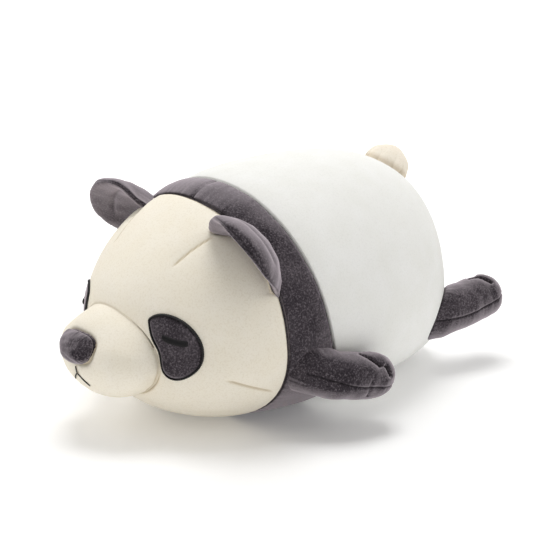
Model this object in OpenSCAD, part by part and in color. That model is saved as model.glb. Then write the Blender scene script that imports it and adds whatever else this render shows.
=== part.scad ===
// Plush panda lying on its belly: one loaf-shaped body of stuffed velour panels, with a
// muzzle, cupped ears, swept-back arms, raised feet and a round tail.
// It faces -Y with its left side at +X. The floor is z = 0. Lengths along Y are measured
// from the seam behind the head and are moved by neck_y at the end.

/* [Body] */
// Half the width of the body
half_w = 120; // [112:1:128]
// Height of the back over the floor
height = 216; // [205:1:228]
// Front end of the body under the muzzle, from the seam behind the head
front_y = -94; // [-100:1:-88]
// Rear end of the rump, from the same seam
rear_y = 269; // [262:1:280]
// Height of the foremost point of the face
face_end_z = 88; // [80:1:96]
// Height of the rearmost point of the rump
rump_end_z = 21; // [16:1:30]
// How much of the stuffed round is pressed flat by the floor
sag = 5; // [4:0.5:7]
// How much narrower the rump is than the head
taper = 0.13; // [0.08:0.01:0.18]
// Height of the widest line, as a part of the section's height
widest = 0.44; // [0.42:0.01:0.48]

/* [Fabric] */
// Thickness of the velour
velour_t = 1.5; // [1:0.1:2]
// Gap left between neighbouring pieces
seam_gap = 0.4; // [0.3:0.1:0.6]

/* [Neck band] */
// Slope of the seam behind the head, backwards for each mm of height
neck_slope = -0.064; // [-0.1:0.002:0]
// How far that seam bows backwards at the sides
neck_bow = 10; // [6:1:12]
// Distance to the seam in front of the back panel
band_w = 52; // [48:1:56]
// Slope of the seam in front of the back panel
shoulder_slope = -0.25; // [-0.3:0.01:-0.2]
// How far the shoulder seam bows backwards at the sides
shoulder_bow = 2; // [0:1:5]

/* [Muzzle] */
// Half the width of the muzzle
muzzle_w = 57; // [52:1:60]
// Half the height of the muzzle
muzzle_h = 40; // [36:1:43]
// How far the muzzle stands out in front of its widest ring
muzzle_out = 41; // [36:1:46]
// Height of the muzzle's centre
muzzle_z = 73; // [70:1:76]
// Half the width of the nose
nose_w = 23; // [20:1:26]
// Half the height of the nose
nose_h = 13.7; // [12:0.1:16]
// How far the nose stands out
nose_out = 10; // [8:0.5:13]

/* [Eyes] */
// Height of the eye patch from end to end
patch_len = 55; // [50:1:60]
// Width of the eye patch at its widest
patch_w = 40; // [36:1:43]
// Lean of the eye patch, its lower end outwards
patch_lean = 45; // [38:1:50]
// How far the eye patch's inner side is drawn in
patch_pinch = 5.6; // [3:0.2:7]
// Width of the satin-stitched border
border_w = 2.6; // [2:0.2:3.4]

/* [Ears] */
// Height of an ear over its seam
ear_h = 43; // [38:1:48]
// Half the width of an ear at its seam
ear_w = 41.5; // [37:0.5:44]
// Half the thickness of the wadded ear
ear_t = 8; // [6:0.5:9]
// How far the ear is cupped backwards
ear_cup = 13; // [9:1:15]

/* [Limbs and tail] */
// Radius of an arm near the body
arm_r = 21; // [19:0.5:23]
// Radius of a paw
paw_r = 20; // [18:0.5:22]
// Radius of a leg near the body
leg_r = 24; // [22:0.5:26]
// Radius of a foot
foot_r = 21; // [19:0.5:23]
// Radius of the tail
tail_r = 22; // [20:0.5:25]

/* [Hidden] */

cream = "#efe9dc";
white = "#f0f0ee";
charcoal = "#56535a";
thread = "#1c1a1c";
fibre = "#fbfbf8";

neck_y = -84;                // puts the whole plush over the origin
mid_y = (front_y + rear_y) / 2;
half_len = (rear_y - front_y) / 2;
plan_power = 2.25;           // roundness of the outline seen from above
back_power = 2.7;            // roundness of the line of the back
belly_power = 2.8;           // roundness of the line of the belly
round = 2.2;                 // roundness of the cross-section
hump = [9.5, -10.5, 31];     // lifts the rump and lowers the forehead
seam_z = 94;                 // height at which the neck seams' distances are given
neck_seam = [0, neck_slope, neck_bow];
shoulder_seam = [band_w, shoulder_slope, shoulder_bow];

// ---- The body's surface -------------------------------------------------------------

// One signed term of a superellipse
function term(v, power) = sign(v) * pow(abs(v), 2 / power);
function cap(u, power) = pow(max(0, 1 - pow(abs(u), power)), 1 / power);
function unit(v) = v / norm(v);

// u runs from -1 at the face to 1 at the rump; t is the depth under the outer surface
function along(y, t) = (y - mid_y) / (half_len - t);
function end_z(u) = face_end_z * (1 - u) / 2 + rump_end_z * (1 + u) / 2;
function side_x(u, t) = (half_w - t) * cap(u, plan_power) * (1 - taper * u);
function back_z(u, t) = end_z(u) + (height - t - end_z(u)) * cap(u, back_power)
    + (hump[0] * u + hump[1] * u * u + hump[2] * u * u * u) * cap(u, 2);
function belly_z(u, t) = end_z(u) - (end_z(u) + sag - t) * cap(u, belly_power);

// [half width, height of the widest line, top, bottom] of the section at y
function section(y, t) = let (u = along(y, t), top = back_z(u, t), low = belly_z(u, t))
    [side_x(u, t), low + widest * (top - low), top, low];

// The surface point at y and at the angle phi round the section, flat on the floor
function skin_at(y, phi, t = 0) = let (c = section(y, t), s = term(sin(phi), round))
    [c[0] * term(cos(phi), round), y,
     max(t, c[1] + s * (s > 0 ? c[2] - c[1] : c[1] - c[3]))];

function inside(p, t) = abs(along(p[1], t)) < 0.9999 && (
    let (c = section(p[1], t), rise = p[2] > c[1] ? c[2] - c[1] : c[1] - c[3])
    pow(abs(p[0]) / c[0], round) + pow(abs(p[2] - c[1]) / rise, round) < 1);

// Distance from p along dir at which a line enters the body, between far and near
function entry(p, dir, far, near, t, n = 15) = n == 0 ? (far + near) / 2
    : let (m = (far + near) / 2)
      inside(p + m * dir, t) ? entry(p, dir, far, m, t, n - 1)
                             : entry(p, dir, m, near, t, n - 1);

// The angle phi of a point that lies on the surface
function phi_of(p, t) = let (c = section(p[1], t), dz = p[2] - c[1],
    rise = dz > 0 ? c[2] - c[1] : c[1] - c[3])
    atan2(sign(dz) * pow(abs(dz) / rise, round / 2),
          sign(p[0]) * pow(abs(p[0]) / c[0], round / 2));

// Where a neck seam crosses the angle phi
function seam_y(seam, phi, y = 20, n = 5) = n == 0 ? y
    : let (p = skin_at(y, phi))
      seam_y(seam, phi, seam[0] + seam[1] * (p[2] - seam_z)
             + seam[2] * pow(p[0] / half_w, 2), n - 1);

// ---- Solids from grids of points ----------------------------------------------------

function flat(rows) = [for (r = rows) for (p = r) p];
function turned(faces, on) = on ? [for (f = faces) [f[0], f[2], f[1]]] : faces;
function quad(a, b, c, d) = [[a, b, c], [a, c, d]];

// A layer of fabric between two matching grids. closed joins the last column to the
// first, and tip_out and tip_in close the last row at one point.
module layer(outer, inner, closed = true, tip_out = undef, tip_in = undef, flip = false) {
    rows = len(outer);
    cols = len(outer[0]);
    tip = !is_undef(tip_out);
    count = rows * cols + (tip ? 1 : 0);
    steps = closed ? cols : cols - 1;
    last = rows - 1;
    function o(r, c) = r * cols + c % cols;
    function i(r, c) = count + o(r, c);
    faces = [
        for (r = [0 : rows - 2]) for (c = [0 : steps - 1])
            each concat(quad(o(r, c), o(r, c + 1), o(r + 1, c + 1), o(r + 1, c)),
                        quad(i(r, c), i(r + 1, c), i(r + 1, c + 1), i(r, c + 1))),
        for (c = [0 : steps - 1]) each quad(o(0, c), i(0, c), i(0, c + 1), o(0, c + 1)),
        for (c = [0 : steps - 1]) each tip
            ? [[o(last, c), o(last, c + 1), count - 1],
               [i(last, c), 2 * count - 1, i(last, c + 1)]]
            : quad(o(last, c), o(last, c + 1), i(last, c + 1), i(last, c)),
        if (!closed) for (r = [0 : rows - 2])
            each concat(quad(o(r, 0), o(r + 1, 0), i(r + 1, 0), i(r, 0)),
                        quad(o(r, cols - 1), i(r, cols - 1), i(r + 1, cols - 1),
                             o(r + 1, cols - 1))),
        if (!closed && tip)
            each concat(quad(o(last, 0), count - 1, 2 * count - 1, i(last, 0)),
                        quad(o(last, cols - 1), i(last, cols - 1), 2 * count - 1,
                             count - 1))
    ];
    polyhedron(concat(flat(outer), tip ? [tip_out] : [], flat(inner), tip ? [tip_in] : []),
               turned(faces, flip));
}

// A closed solid of rings between two end points
module stuffed(start, rings, end, flip = false) {
    rows = len(rings);
    cols = len(rings[0]);
    function v(r, c) = 1 + r * cols + c % cols;
    faces = [
        for (c = [0 : cols - 1]) [0, v(0, c + 1), v(0, c)],
        for (r = [0 : rows - 2]) for (c = [0 : cols - 1])
            each quad(v(r, c), v(r, c + 1), v(r + 1, c + 1), v(r + 1, c)),
        for (c = [0 : cols - 1]) [v(rows - 1, c), v(rows - 1, c + 1), rows * cols + 1]
    ];
    polyhedron(concat([start], flat(rings), [end]), turned(faces, flip));
}

module placed() { translate([0, neck_y, 0]) children(); }
module sided(right) { if (right) mirror([1, 0, 0]) children(); else children(); }

// ---- Head ---------------------------------------------------------------------------

turn_steps = 40;
turn = [for (k = [0 : turn_steps - 1]) k * 360 / turn_steps];
filling_t = velour_t + 3 * seam_gap;
muzzle_y = -88;              // widest ring of the muzzle
muzzle_round = 2.15;

// The muzzle's seam on the face, at the angle a round the muzzle
function muzzle_seam(a, t) = let (x = (muzzle_w - t) * cos(a),
    z = muzzle_z + (muzzle_h - t) * sin(a),
    y = entry([x, 0, z], [0, 1, 0], front_y, 0, t)) [x, y, z];

function muzzle_at(a, r, t) = [(muzzle_w - t) * r * cos(a),
    muzzle_y - (muzzle_out - t) * pow(1 - pow(r, muzzle_round), 1 / muzzle_round),
    muzzle_z + (muzzle_h - t) * r * sin(a)];

// Rows of the face from the muzzle's seam, k = 0, to the seam behind the head, k = 1
function face_row(k, t) = [for (a = turn)
    let (m = muzzle_seam(a, 0), from = phi_of(m, 0), ya = m[1] + 4 * seam_gap,
         yb = seam_y(neck_seam, a) - seam_gap / 2,
         lag = from - a - 360 * round_to(from - a))
    skin_at(ya + (yb - ya) * pow(k, 1.7), a + lag * (1 - k), t)];
function round_to(d) = floor(d / 360 + 0.5);

module face_panel() {
    steps = [for (k = [0 : 14]) k / 14];
    color(cream) placed()
        layer([for (k = steps) face_row(k, 0)], [for (k = steps) face_row(k, velour_t)],
              flip = true);
}

module head_filling() {
    steps = [for (k = [1 : 12]) k / 12];
    ends = front_y + filling_t + seam_gap;
    color(fibre) placed()
        stuffed([0, ends, face_end_z],
                [for (k = steps) [for (a = turn)
                    let (yb = seam_y(neck_seam, a) - seam_gap)
                    skin_at(ends + (yb - ends) * pow(k, 1.7), a, filling_t)]],
                [0, -seam_gap, seam_z], flip = true);
}

module muzzle_panel() {
    reach = [1, 0.97, 0.9, 0.78, 0.62, 0.42, 0.2];
    color(cream) placed()
        layer(concat([[for (a = turn) muzzle_seam(a, seam_gap)]],
                     [for (r = reach) [for (a = turn) muzzle_at(a, r, 0)]]),
              concat([[for (a = turn) muzzle_seam(a, velour_t + seam_gap)]],
                     [for (r = reach) [for (a = turn) muzzle_at(a, r, velour_t)]]),
              tip_out = muzzle_at(0, 0, 0), tip_in = muzzle_at(0, 0, velour_t));
}

module muzzle_filling() {
    reach = [0.97, 0.85, 0.65, 0.4];
    color(fibre) placed()
        stuffed([0, front_y - seam_gap, muzzle_z],
                concat([[for (a = turn) let (m = muzzle_at(a, 0.97, filling_t))
                         [m[0], min(m[1] + 1, front_y - seam_gap), m[2]]]],
                       [for (r = reach) [for (a = turn) let (m = muzzle_at(a, r, filling_t))
                         [m[0], min(m[1], front_y - 2), m[2]]]]),
                muzzle_at(0, 0, filling_t));
}

nose_z = 83.2;
nose_taper = 0.1;            // how much wider its upper half is
nose_steps = [for (k = [0 : 23]) k * 15];

// The nose on the muzzle; out is how far it stands from the muzzle's fabric
function nose_at(a, r, out) = let (x = nose_w * r * cos(a) * (1 + nose_taper * sin(a)),
    z = nose_z + nose_h * r * sin(a),
    q = norm([x / muzzle_w, (z - muzzle_z) / muzzle_h]))
    [x, muzzle_y - muzzle_out * pow(1 - pow(q, muzzle_round), 1 / muzzle_round) - out, z];

module nose_pad() {
    reach = [1, 0.96, 0.86, 0.7, 0.45, 0.2];
    color(charcoal) placed()
        layer([for (r = reach) [for (a = nose_steps)
                  nose_at(a, r, seam_gap + 0.4 + nose_out * sqrt(1 - r * r))]],
              [for (r = reach) [for (a = nose_steps) nose_at(a, r, seam_gap / 2)]],
              tip_out = nose_at(0, 0, seam_gap + nose_out),
              tip_in = nose_at(0, 0, seam_gap / 2));
}

mouth_r = 0.6;               // radius of the mouth's thread
mouth_top_z = nose_z - nose_h - 3;
mouth_fork_z = mouth_top_z - 7;
mouth_end = [13, -10];       // the corners, sideways and down from the fork

function on_muzzle(x, z) = let (q = norm([x / muzzle_w, (z - muzzle_z) / muzzle_h]))
    [x, muzzle_y - muzzle_out * pow(1 - pow(q, muzzle_round), 1 / muzzle_round)
        - seam_gap - mouth_r, z];

module strand(a, b, r) {
    d = b - a;
    translate(a) rotate([0, acos(d[2] / norm(d)), atan2(d[1], d[0])])
        cylinder(h = norm(d), r = r, $fn = 16);
}

module mouth_stitches() {
    steps = 3;
    function branch(side, k) = on_muzzle(side * mouth_end[0] * k / steps,
                                         mouth_fork_z + mouth_end[1] * k / steps);
    color(thread) placed() union() {
        strand(on_muzzle(0, mouth_top_z), branch(0, 0), mouth_r);
        translate(branch(0, 0)) sphere(r = mouth_r * 1.1, $fn = 16);
        for (side = [-1, 1]) for (k = [1 : steps]) {
            strand(branch(side, k - 1), branch(side, k), mouth_r);
            if (k < steps) translate(branch(side, k)) sphere(r = mouth_r * 1.1, $fn = 16);
        }
    }
}

// ---- Eyes ---------------------------------------------------------------------------

eye_centre = skin_at(-70, 7.6);
eye_n = unit(cross(skin_at(-69, 7.6) - skin_at(-71, 7.6), skin_at(-70, 9) - skin_at(-70, 6)));
eye_up = unit([0, 0, 1] - eye_n * eye_n[2]);
eye_out = cross(eye_up, eye_n);

// A point on the face, out and up from the eye's centre, raised by lift
function on_face(out, up, lift) = let (p = eye_centre + out * eye_out + up * eye_up)
    p + eye_n * (lift - entry(p, -eye_n, -20, 25, 0));

// The patch's outline, an egg whose lower end is the fuller, grown by more
function patch_at(a, r, more, lift) = let (v = sin(a),
    half = cos(a) > 0 ? 0.54 * patch_w * (1 - 0.09 * v)
        : 0.455 * patch_w * (1 - 0.9 * v) - patch_pinch * exp(-pow((v - 0.107) / 0.387, 2)),
    w = (half + more) * cos(a), l = (patch_len / 2 + more) * v + 4.4)
    on_face(-5.3 + r * (w * cos(patch_lean) - l * sin(patch_lean)),
            -3.4 + r * (w * sin(patch_lean) + l * cos(patch_lean)), lift);

eye_steps = [for (k = [0 : 23]) k * 15];

module eye_patch(right) {
    reach = [1, 0.75, 0.5, 0.25];
    lift = seam_gap / 2;
    color(charcoal) placed() sided(right)
        layer([for (r = reach) [for (a = eye_steps) patch_at(a, r, 0, lift + velour_t)]],
              [for (r = reach) [for (a = eye_steps) patch_at(a, r, 0, lift)]],
              tip_out = patch_at(0, 0, 0, lift + velour_t), tip_in = patch_at(0, 0, 0, lift));
}
module eye_patch_left() { eye_patch(false); }
module eye_patch_right() { eye_patch(true); }

module eye_border(right) {
    widths = [seam_gap / 2, border_w / 2, border_w];
    heights = [1.6, 2.2, 1.2];
    color(thread) placed() sided(right)
        layer([for (k = [0 : 2]) [for (a = eye_steps) patch_at(a, 1, widths[k], heights[k])]],
              [for (k = [0 : 2]) [for (a = eye_steps) patch_at(a, 1, widths[k], seam_gap / 2)]],
              flip = true);
}
module eye_border_left() { eye_border(false); }
module eye_border_right() { eye_border(true); }

// The closed eye, a bar that sags between its ends
module eye_stitches(right) {
    steps = [for (k = [0 : 10]) k / 10];
    low = velour_t + seam_gap;
    function bar(k, up, lift) = on_face(-16.3 + 22.9 * k, 7.3 - 4 * k - 5.7 * k * (1 - k) + up,
                                        lift);
    function half(k) = 2.55 * pow(1 - pow(abs(2 * k - 1), 6), 0.5) + 0.3;
    color(thread) placed() sided(right)
        layer([for (k = steps) [for (s = [-1, 0, 1]) bar(k, s * half(k), low + 1.6 - abs(s))]],
              [for (k = steps) [for (s = [-1, 0, 1]) bar(k, s * half(k), low)]],
              closed = false);
}
module eye_stitches_left() { eye_stitches(false); }
module eye_stitches_right() { eye_stitches(true); }

// ---- Ears ---------------------------------------------------------------------------

ear_inner = [63, -19.5, 186];
ear_outer = [113, -3, 141.5];
ear_mid = (ear_inner + ear_outer) / 2;
ear_x = unit(ear_outer - ear_inner);
ear_rise = [0.73, -0.53, 0.4];
ear_z = unit(ear_rise - ear_x * (ear_rise * ear_x));
ear_y = cross(ear_x, ear_z);     // out of the hollow of the ear

// s runs across the ear from -1 to 1, h up it in mm, n is the height over its middle sheet
function ear_at(s, h, n) = let (w = ear_w * s * cap(max(h, 0) / (ear_h + 0.01), 2.4))
    ear_mid + w * ear_x + h * ear_z
        + (n - ear_cup * (1 - pow(w / ear_w, 2) - pow(h / ear_h, 2))) * ear_y;
function ear_foot(s, n) = -entry(ear_at(s, 0, n), -ear_z, -35, 25, 0) + 2 * seam_gap;
function ear_half(s, k) = 1.6 + (ear_t - 1.6) * sqrt(max(0, 1 - s * s)) * cap(k, 3);

module ear_side(right, front) {
    across = [for (k = [-6 : 6]) k / 6];
    rise = [0, 0.2, 0.4, 0.6, 0.78, 0.9, 0.97];
    way = front ? 1 : -1;
    function at(s, k, depth) = let (foot = ear_foot(s, way * max(0.3, ear_half(s, 0) - depth)))
        ear_at(s, foot + (ear_h - foot) * k, way * max(0.3, ear_half(s, k) - depth));
    color(charcoal) placed() sided(right)
        layer([for (k = rise) [for (s = across) at(s, k, 0)]],
              [for (k = rise) [for (s = across) at(s, k, 1.3)]],
              closed = false, tip_out = at(0, 1, 0), tip_in = at(0, 1, 1.3), flip = front);
}
module ear_front_left() { ear_side(false, true); }
module ear_front_right() { ear_side(true, true); }
module ear_back_left() { ear_side(false, false); }
module ear_back_right() { ear_side(true, false); }

wadding_foot = 9;            // clear of the head while the ear folds
module ear_wadding(right) {
    rise = [0.03, 0.12, 0.3, 0.55, 0.75, 0.87];
    tall = ear_h - wadding_foot;
    function thick(k) = (ear_t - 3.2) * cap(2 * k - 1, 2.5);
    color(fibre) placed() sided(right)
        stuffed(ear_at(0, wadding_foot, 0),
                [for (k = rise) [for (a = [0 : 20 : 340])
                    let (s = 0.8 * cos(a) * cap(2 * k - 1, 5))
                    ear_at(s, wadding_foot + tall * k, thick(k) * sin(a))]],
                ear_at(0, wadding_foot + tall * 0.92, 0), flip = true);
}
module ear_wadding_left() { ear_wadding(false); }
module ear_wadding_right() { ear_wadding(true); }

// ---- Neck band, back and belly ------------------------------------------------------

module neck_band(right) {
    gap = 0.5;               // angle left at the seams along the back and belly
    angles = [for (k = [0 : 24]) 90 - gap - k * (180 - 2 * gap) / 24];
    function row(k, t) = [for (a = angles)
        let (ya = seam_y(neck_seam, a) + seam_gap / 2, yb = seam_y(shoulder_seam, a) - seam_gap / 2)
        skin_at(ya + (yb - ya) * k, a, t)];
    color(charcoal) placed() sided(right)
        layer([for (k = [0 : 0.25 : 1]) row(k, 0)],
              [for (k = [0 : 0.25 : 1]) row(k, velour_t)], closed = false);
}
module neck_band_left() { neck_band(false); }
module neck_band_right() { neck_band(true); }

module neck_filling() {
    function row(k) = [for (a = turn)
        let (ya = seam_y(neck_seam, a) + seam_gap, yb = seam_y(shoulder_seam, a) - seam_gap)
        skin_at(ya + (yb - ya) * k, a, filling_t)];
    color(fibre) placed()
        stuffed([0, seam_gap, seam_z], [for (k = [0 : 0.25 : 1]) row(k)],
                [0, band_w - seam_gap, seam_z], flip = true);
}

flat_end = 222;              // where the belly leaves the floor
function foot_phi(y) = let (c = section(y, 0))
    -asin(pow(min(1, c[1] / (c[1] - c[3])), round / 2));

module back_panel() {
    steps = 20;
    function row(k, t) = [for (c = [0 : 30])
        let (start = seam_y(shoulder_seam, 270) + seam_gap,
             y = start + (rear_y - t - seam_gap - start) * sin(90 * k),
             low = max(foot_phi(y), -90) + 0.8, a = low + (180 - 2 * low) * c / 30,
             first = seam_y(shoulder_seam, a) + seam_gap / 2)
        skin_at(y + (first - start) * (1 - sin(90 * k)), a, t)];
    color(white) placed()
        layer([for (k = [0 : steps]) row(k / steps, 0)],
              [for (k = [0 : steps]) row(k / steps, velour_t)], closed = false,
              tip_out = [0, rear_y, rump_end_z], tip_in = [0, rear_y - velour_t, rump_end_z],
              flip = true);
}

// The flat white panel under the body
module belly_panel() {
    first = seam_y(shoulder_seam, 270) + seam_gap;
    ys = [for (k = [0 : 16]) first + (flat_end - first) * k / 16];
    function edge(y) = max(1, skin_at(y, foot_phi(y))[0] - 2);
    color(white) placed()
        linear_extrude(height = velour_t)
            polygon(concat([for (y = ys) [edge(y), y]],
                           [for (k = [16 : -1 : 0]) [-edge(ys[k]), ys[k]]]));
}

module torso_filling() {
    steps = [for (k = [0 : 12]) k / 13];
    last = rear_y - filling_t - seam_gap;
    color(fibre) placed()
        stuffed([0, band_w + seam_gap, seam_z],
                [for (k = steps) [for (a = turn)
                    let (first = seam_y(shoulder_seam, a) + seam_gap)
                    skin_at(first + (last - first) * sin(90 * k), a, filling_t)]],
                [0, last, rump_end_z], flip = true);
}

// Ladder stitches across the opening under the rump, where the stuffing went in
module closing_stitches() {
    span = 60;
    count = 9;
    color(white) placed()
        for (k = [0 : count - 1]) let (y = 160 + span * k / (count - 1))
            translate([-1.5, y, velour_t + seam_gap / 2]) rotate([0, 90, 0])
                cylinder(h = 3, r = 0.15, $fn = 16);
}

// A plain folded tape in the side seam near the rump
module care_label() {
    y = 190;
    p = skin_at(y, foot_phi(y) + 11);
    color("white") placed() mirror([1, 0, 0])
        translate([p[0] + 0.8, y - 11, seam_gap]) rotate([0, -8, 0]) union() {
            cube([16, 22, 0.6]);
            translate([0, 0, 1]) cube([16, 22, 0.6]);
            translate([15.4, 0, 0]) cube([0.6, 22, 1.6]);
        }
}

// ---- Limbs --------------------------------------------------------------------------

// A limb is [three points of its bent middle line, radius at the body, radius at the end]
arm = [[90, 33, 63], [135, 34, 55], [134, 90, 47.5], arm_r, paw_r];
leg = [[54, 208, 53], [68, 243, 57], [67, 288, 64.5], leg_r, foot_r];
limb_gap = 1.2;              // between a limb's cover and the body

function bend(l, s) = (1 - s) * (1 - s) * l[0] + 2 * s * (1 - s) * l[1] + s * s * l[2];
function heading(l, s) = unit((1 - s) * (l[1] - l[0]) + s * (l[2] - l[1]));

// s runs from 0 inside the body to 1 at the last round section and 2 at the tip
function limb_at(l, s, a, t) = let (q = min(s, 1), d = heading(l, q),
    side = unit(cross(d, [0, 0, 1])), up = cross(side, d),
    r = l[3] + (l[4] - l[3]) * q - t, over = 90 * max(0, s - 1))
    bend(l, q) + r * sin(over) * d + r * cos(over) * (cos(a) * side + sin(a) * up);

function limb_start(l, a, near = 0, far = 0.95, n = 12) = n == 0 ? far
    : let (m = (near + far) / 2)
      inside(limb_at(l, m, a, 0), -limb_gap) ? limb_start(l, a, m, far, n - 1)
                                             : limb_start(l, a, near, m, n - 1);

// Half of a limb's cover, from the angle from to the angle from + 180
module limb_cover(l, from) {
    steps = 9;
    gap = 1;
    angles = [for (k = [0 : 10]) from + gap + (180 - 2 * gap) * k / 10];
    function row(k, t) = [for (a = angles)
        let (first = limb_start(l, a)) limb_at(l, first + (1.95 - first) * k, a, t)];
    layer([for (k = [0 : steps]) row(k / steps, 0)],
          [for (k = [0 : steps]) row(k / steps, velour_t)], closed = false);
}

// A firm wad of fibre, round at both ends
module wad(a, b, ra, rb) {
    d = b - a;
    lean = asin((rb - ra) / norm(d));
    function arc(r, z, from, to) = [for (k = [0 : 8]) let (e = from + (to - from) * k / 8)
        [r * cos(e), z + r * sin(e)]];
    translate(a) rotate([0, acos(d[2] / norm(d)), atan2(d[1], d[0])])
        rotate_extrude($fn = 48)
            polygon(concat([[0, -ra]], arc(ra, 0, -85, -lean),
                           arc(rb, norm(d), -lean, 85), [[0, norm(d) + rb]]));
}

// Two drawn-in stitches over the end of a limb, which mark the toes
module toe_stitches(l) {
    d = heading(l, 1);
    lean = atan2(d[1], d[0]);
    translate(l[2]) rotate([0, 0, lean - 90])
        for (side = [-1, 1]) translate([side * 7, 0, 0]) rotate([0, 90, 0])
            rotate([0, 0, 60]) rotate_extrude(angle = 80, $fn = 48)
                translate([sqrt(l[4] * l[4] - 49) + 0.9, 0]) circle(r = 0.6, $fn = 16);
}

module arm_top(right) { color(charcoal) placed() sided(right) limb_cover(arm, 0); }
module arm_top_left() { arm_top(false); }
module arm_top_right() { arm_top(true); }
module arm_under(right) { color(charcoal) placed() sided(right) limb_cover(arm, 180); }
module arm_under_left() { arm_under(false); }
module arm_under_right() { arm_under(true); }
module arm_filling(right) {
    color(fibre) placed() sided(right) wad([131.5, 52, 55], arm[2], 11.5, paw_r - 2.4);
}
module arm_filling_left() { arm_filling(false); }
module arm_filling_right() { arm_filling(true); }
module arm_toe_stitches_left() { color(thread) placed() toe_stitches(arm); }
module arm_toe_stitches_right() {
    color(thread) placed() mirror([1, 0, 0]) toe_stitches(arm);
}

module leg_top(right) { color(charcoal) placed() sided(right) limb_cover(leg, 0); }
module leg_top_left() { leg_top(false); }
module leg_top_right() { leg_top(true); }
module leg_sole(right) { color(charcoal) placed() sided(right) limb_cover(leg, 180); }
module leg_sole_left() { leg_sole(false); }
module leg_sole_right() { leg_sole(true); }
module leg_filling(right) {
    color(fibre) placed() sided(right) wad([67.3, 262, 59], leg[2], 13.5, foot_r - 2.4);
}
module leg_filling_left() { leg_filling(false); }
module leg_filling_right() { leg_filling(true); }
module leg_toe_stitches_left() { color(thread) placed() toe_stitches(leg); }
module leg_toe_stitches_right() {
    color(thread) placed() mirror([1, 0, 0]) toe_stitches(leg);
}

// ---- Tail ---------------------------------------------------------------------------

tail_y = 220;
tail_foot = skin_at(tail_y, 90);
tail_lean = -atan2(skin_at(tail_y + 2, 90)[2] - skin_at(tail_y - 2, 90)[2], 4);

module on_rump() { translate(tail_foot) rotate([-tail_lean, 0, 0]) children(); }

module dome(r, low) {
    intersection() {
        sphere(r = r, $fn = 64);
        translate([-r, -r, low]) cube([2 * r, 2 * r, 2 * r]);
    }
}

module tail_cover() {
    color(cream) placed() on_rump() difference() {
        dome(tail_r, 0.5);
        dome(tail_r - velour_t, 0);
    }
}
module tail_filling() { color(fibre) placed() on_rump() dome(tail_r - 4, 4.5); }

// ---- Drawing ------------------------------------------------------------------------

head_filling();
muzzle_filling();
face_panel();
muzzle_panel();
nose_pad();
mouth_stitches();
eye_patch_left();
eye_patch_right();
eye_border_left();
eye_border_right();
eye_stitches_left();
eye_stitches_right();
ear_front_left();
ear_front_right();
ear_back_left();
ear_back_right();
ear_wadding_left();
ear_wadding_right();
torso_filling();
neck_filling();
neck_band_left();
neck_band_right();
back_panel();
belly_panel();
closing_stitches();
care_label();
arm_top_left();
arm_top_right();
arm_under_left();
arm_under_right();
arm_filling_left();
arm_filling_right();
arm_toe_stitches_left();
arm_toe_stitches_right();
leg_top_left();
leg_top_right();
leg_sole_left();
leg_sole_right();
leg_filling_left();
leg_filling_right();
leg_toe_stitches_left();
leg_toe_stitches_right();
tail_cover();
tail_filling();
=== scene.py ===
"""Looks of the plush panda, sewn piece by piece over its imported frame.

The panda lies on its belly and faces -Y, with its left side at +X. The classes hold their sizes in
millimetres, measured from the seam behind the head; to_scene() turns such points into metres in the
frame's own place.
"""

from __future__ import annotations

import logging
import math
from dataclasses import dataclass
from enum import Enum
from typing import Callable, Sequence

import bpy
import numpy as np
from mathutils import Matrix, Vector


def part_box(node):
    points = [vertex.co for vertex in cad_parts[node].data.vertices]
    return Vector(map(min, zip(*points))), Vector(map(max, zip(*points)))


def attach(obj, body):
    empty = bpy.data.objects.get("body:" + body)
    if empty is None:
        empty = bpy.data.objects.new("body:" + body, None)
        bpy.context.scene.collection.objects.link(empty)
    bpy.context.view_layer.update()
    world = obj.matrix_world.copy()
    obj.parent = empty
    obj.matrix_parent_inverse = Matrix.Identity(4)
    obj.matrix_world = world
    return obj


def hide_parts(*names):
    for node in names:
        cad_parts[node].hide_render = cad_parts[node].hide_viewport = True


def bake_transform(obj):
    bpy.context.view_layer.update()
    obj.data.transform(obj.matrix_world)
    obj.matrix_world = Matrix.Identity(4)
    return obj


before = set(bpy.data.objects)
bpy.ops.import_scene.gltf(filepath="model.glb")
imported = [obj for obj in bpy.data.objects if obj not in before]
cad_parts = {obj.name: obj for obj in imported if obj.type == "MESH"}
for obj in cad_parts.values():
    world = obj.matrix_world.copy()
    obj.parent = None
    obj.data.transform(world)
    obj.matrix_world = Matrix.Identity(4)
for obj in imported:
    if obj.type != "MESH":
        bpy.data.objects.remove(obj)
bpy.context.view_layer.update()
log = logging.getLogger("panda")

MM = 0.001
NECK_Y = -84.0  # where the seam behind the head lies in the frame
TURN = 2.0 * math.pi
SEAM_Z = 94.0  # height at which the neck seams' distances are given

HEM = 2  # rows of a panel that are turned in at a sewn edge
LAST_CUT = 0.99999  # how near to the body's ends a cross-section is measured
UP = np.array([0.0, 0.0, 1.0])
ROUND = np.linspace(0.0, TURN, 181)
LOWER_RING = np.radians(np.linspace(-200.0, 20.0, 121))

Place = Callable[[np.ndarray, np.ndarray], np.ndarray]
Triple = tuple[float, float, float]


# ---- Sums on arrays of points -------------------------------------------------------------------


def powered(v: np.ndarray, power: float) -> np.ndarray:
    """One signed term of a superellipse."""
    return np.sign(v) * np.abs(v) ** (2.0 / power)


def cap(u: np.ndarray, power: float) -> np.ndarray:
    """Height of a rounded end at u, from 1 at the middle to 0 at u = 1."""
    return np.maximum(0.0, 1.0 - np.abs(u) ** power) ** (1.0 / power)


def unit(v: np.ndarray) -> np.ndarray:
    """Vectors of length one in the directions of v."""
    return v / np.linalg.norm(v, axis=-1, keepdims=True)


def stack(x: np.ndarray, y: np.ndarray, z: np.ndarray) -> np.ndarray:
    """Points from their three coordinates, which may be single numbers."""
    return np.stack(np.broadcast_arrays(x, y, z), axis=-1).astype(float)


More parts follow.
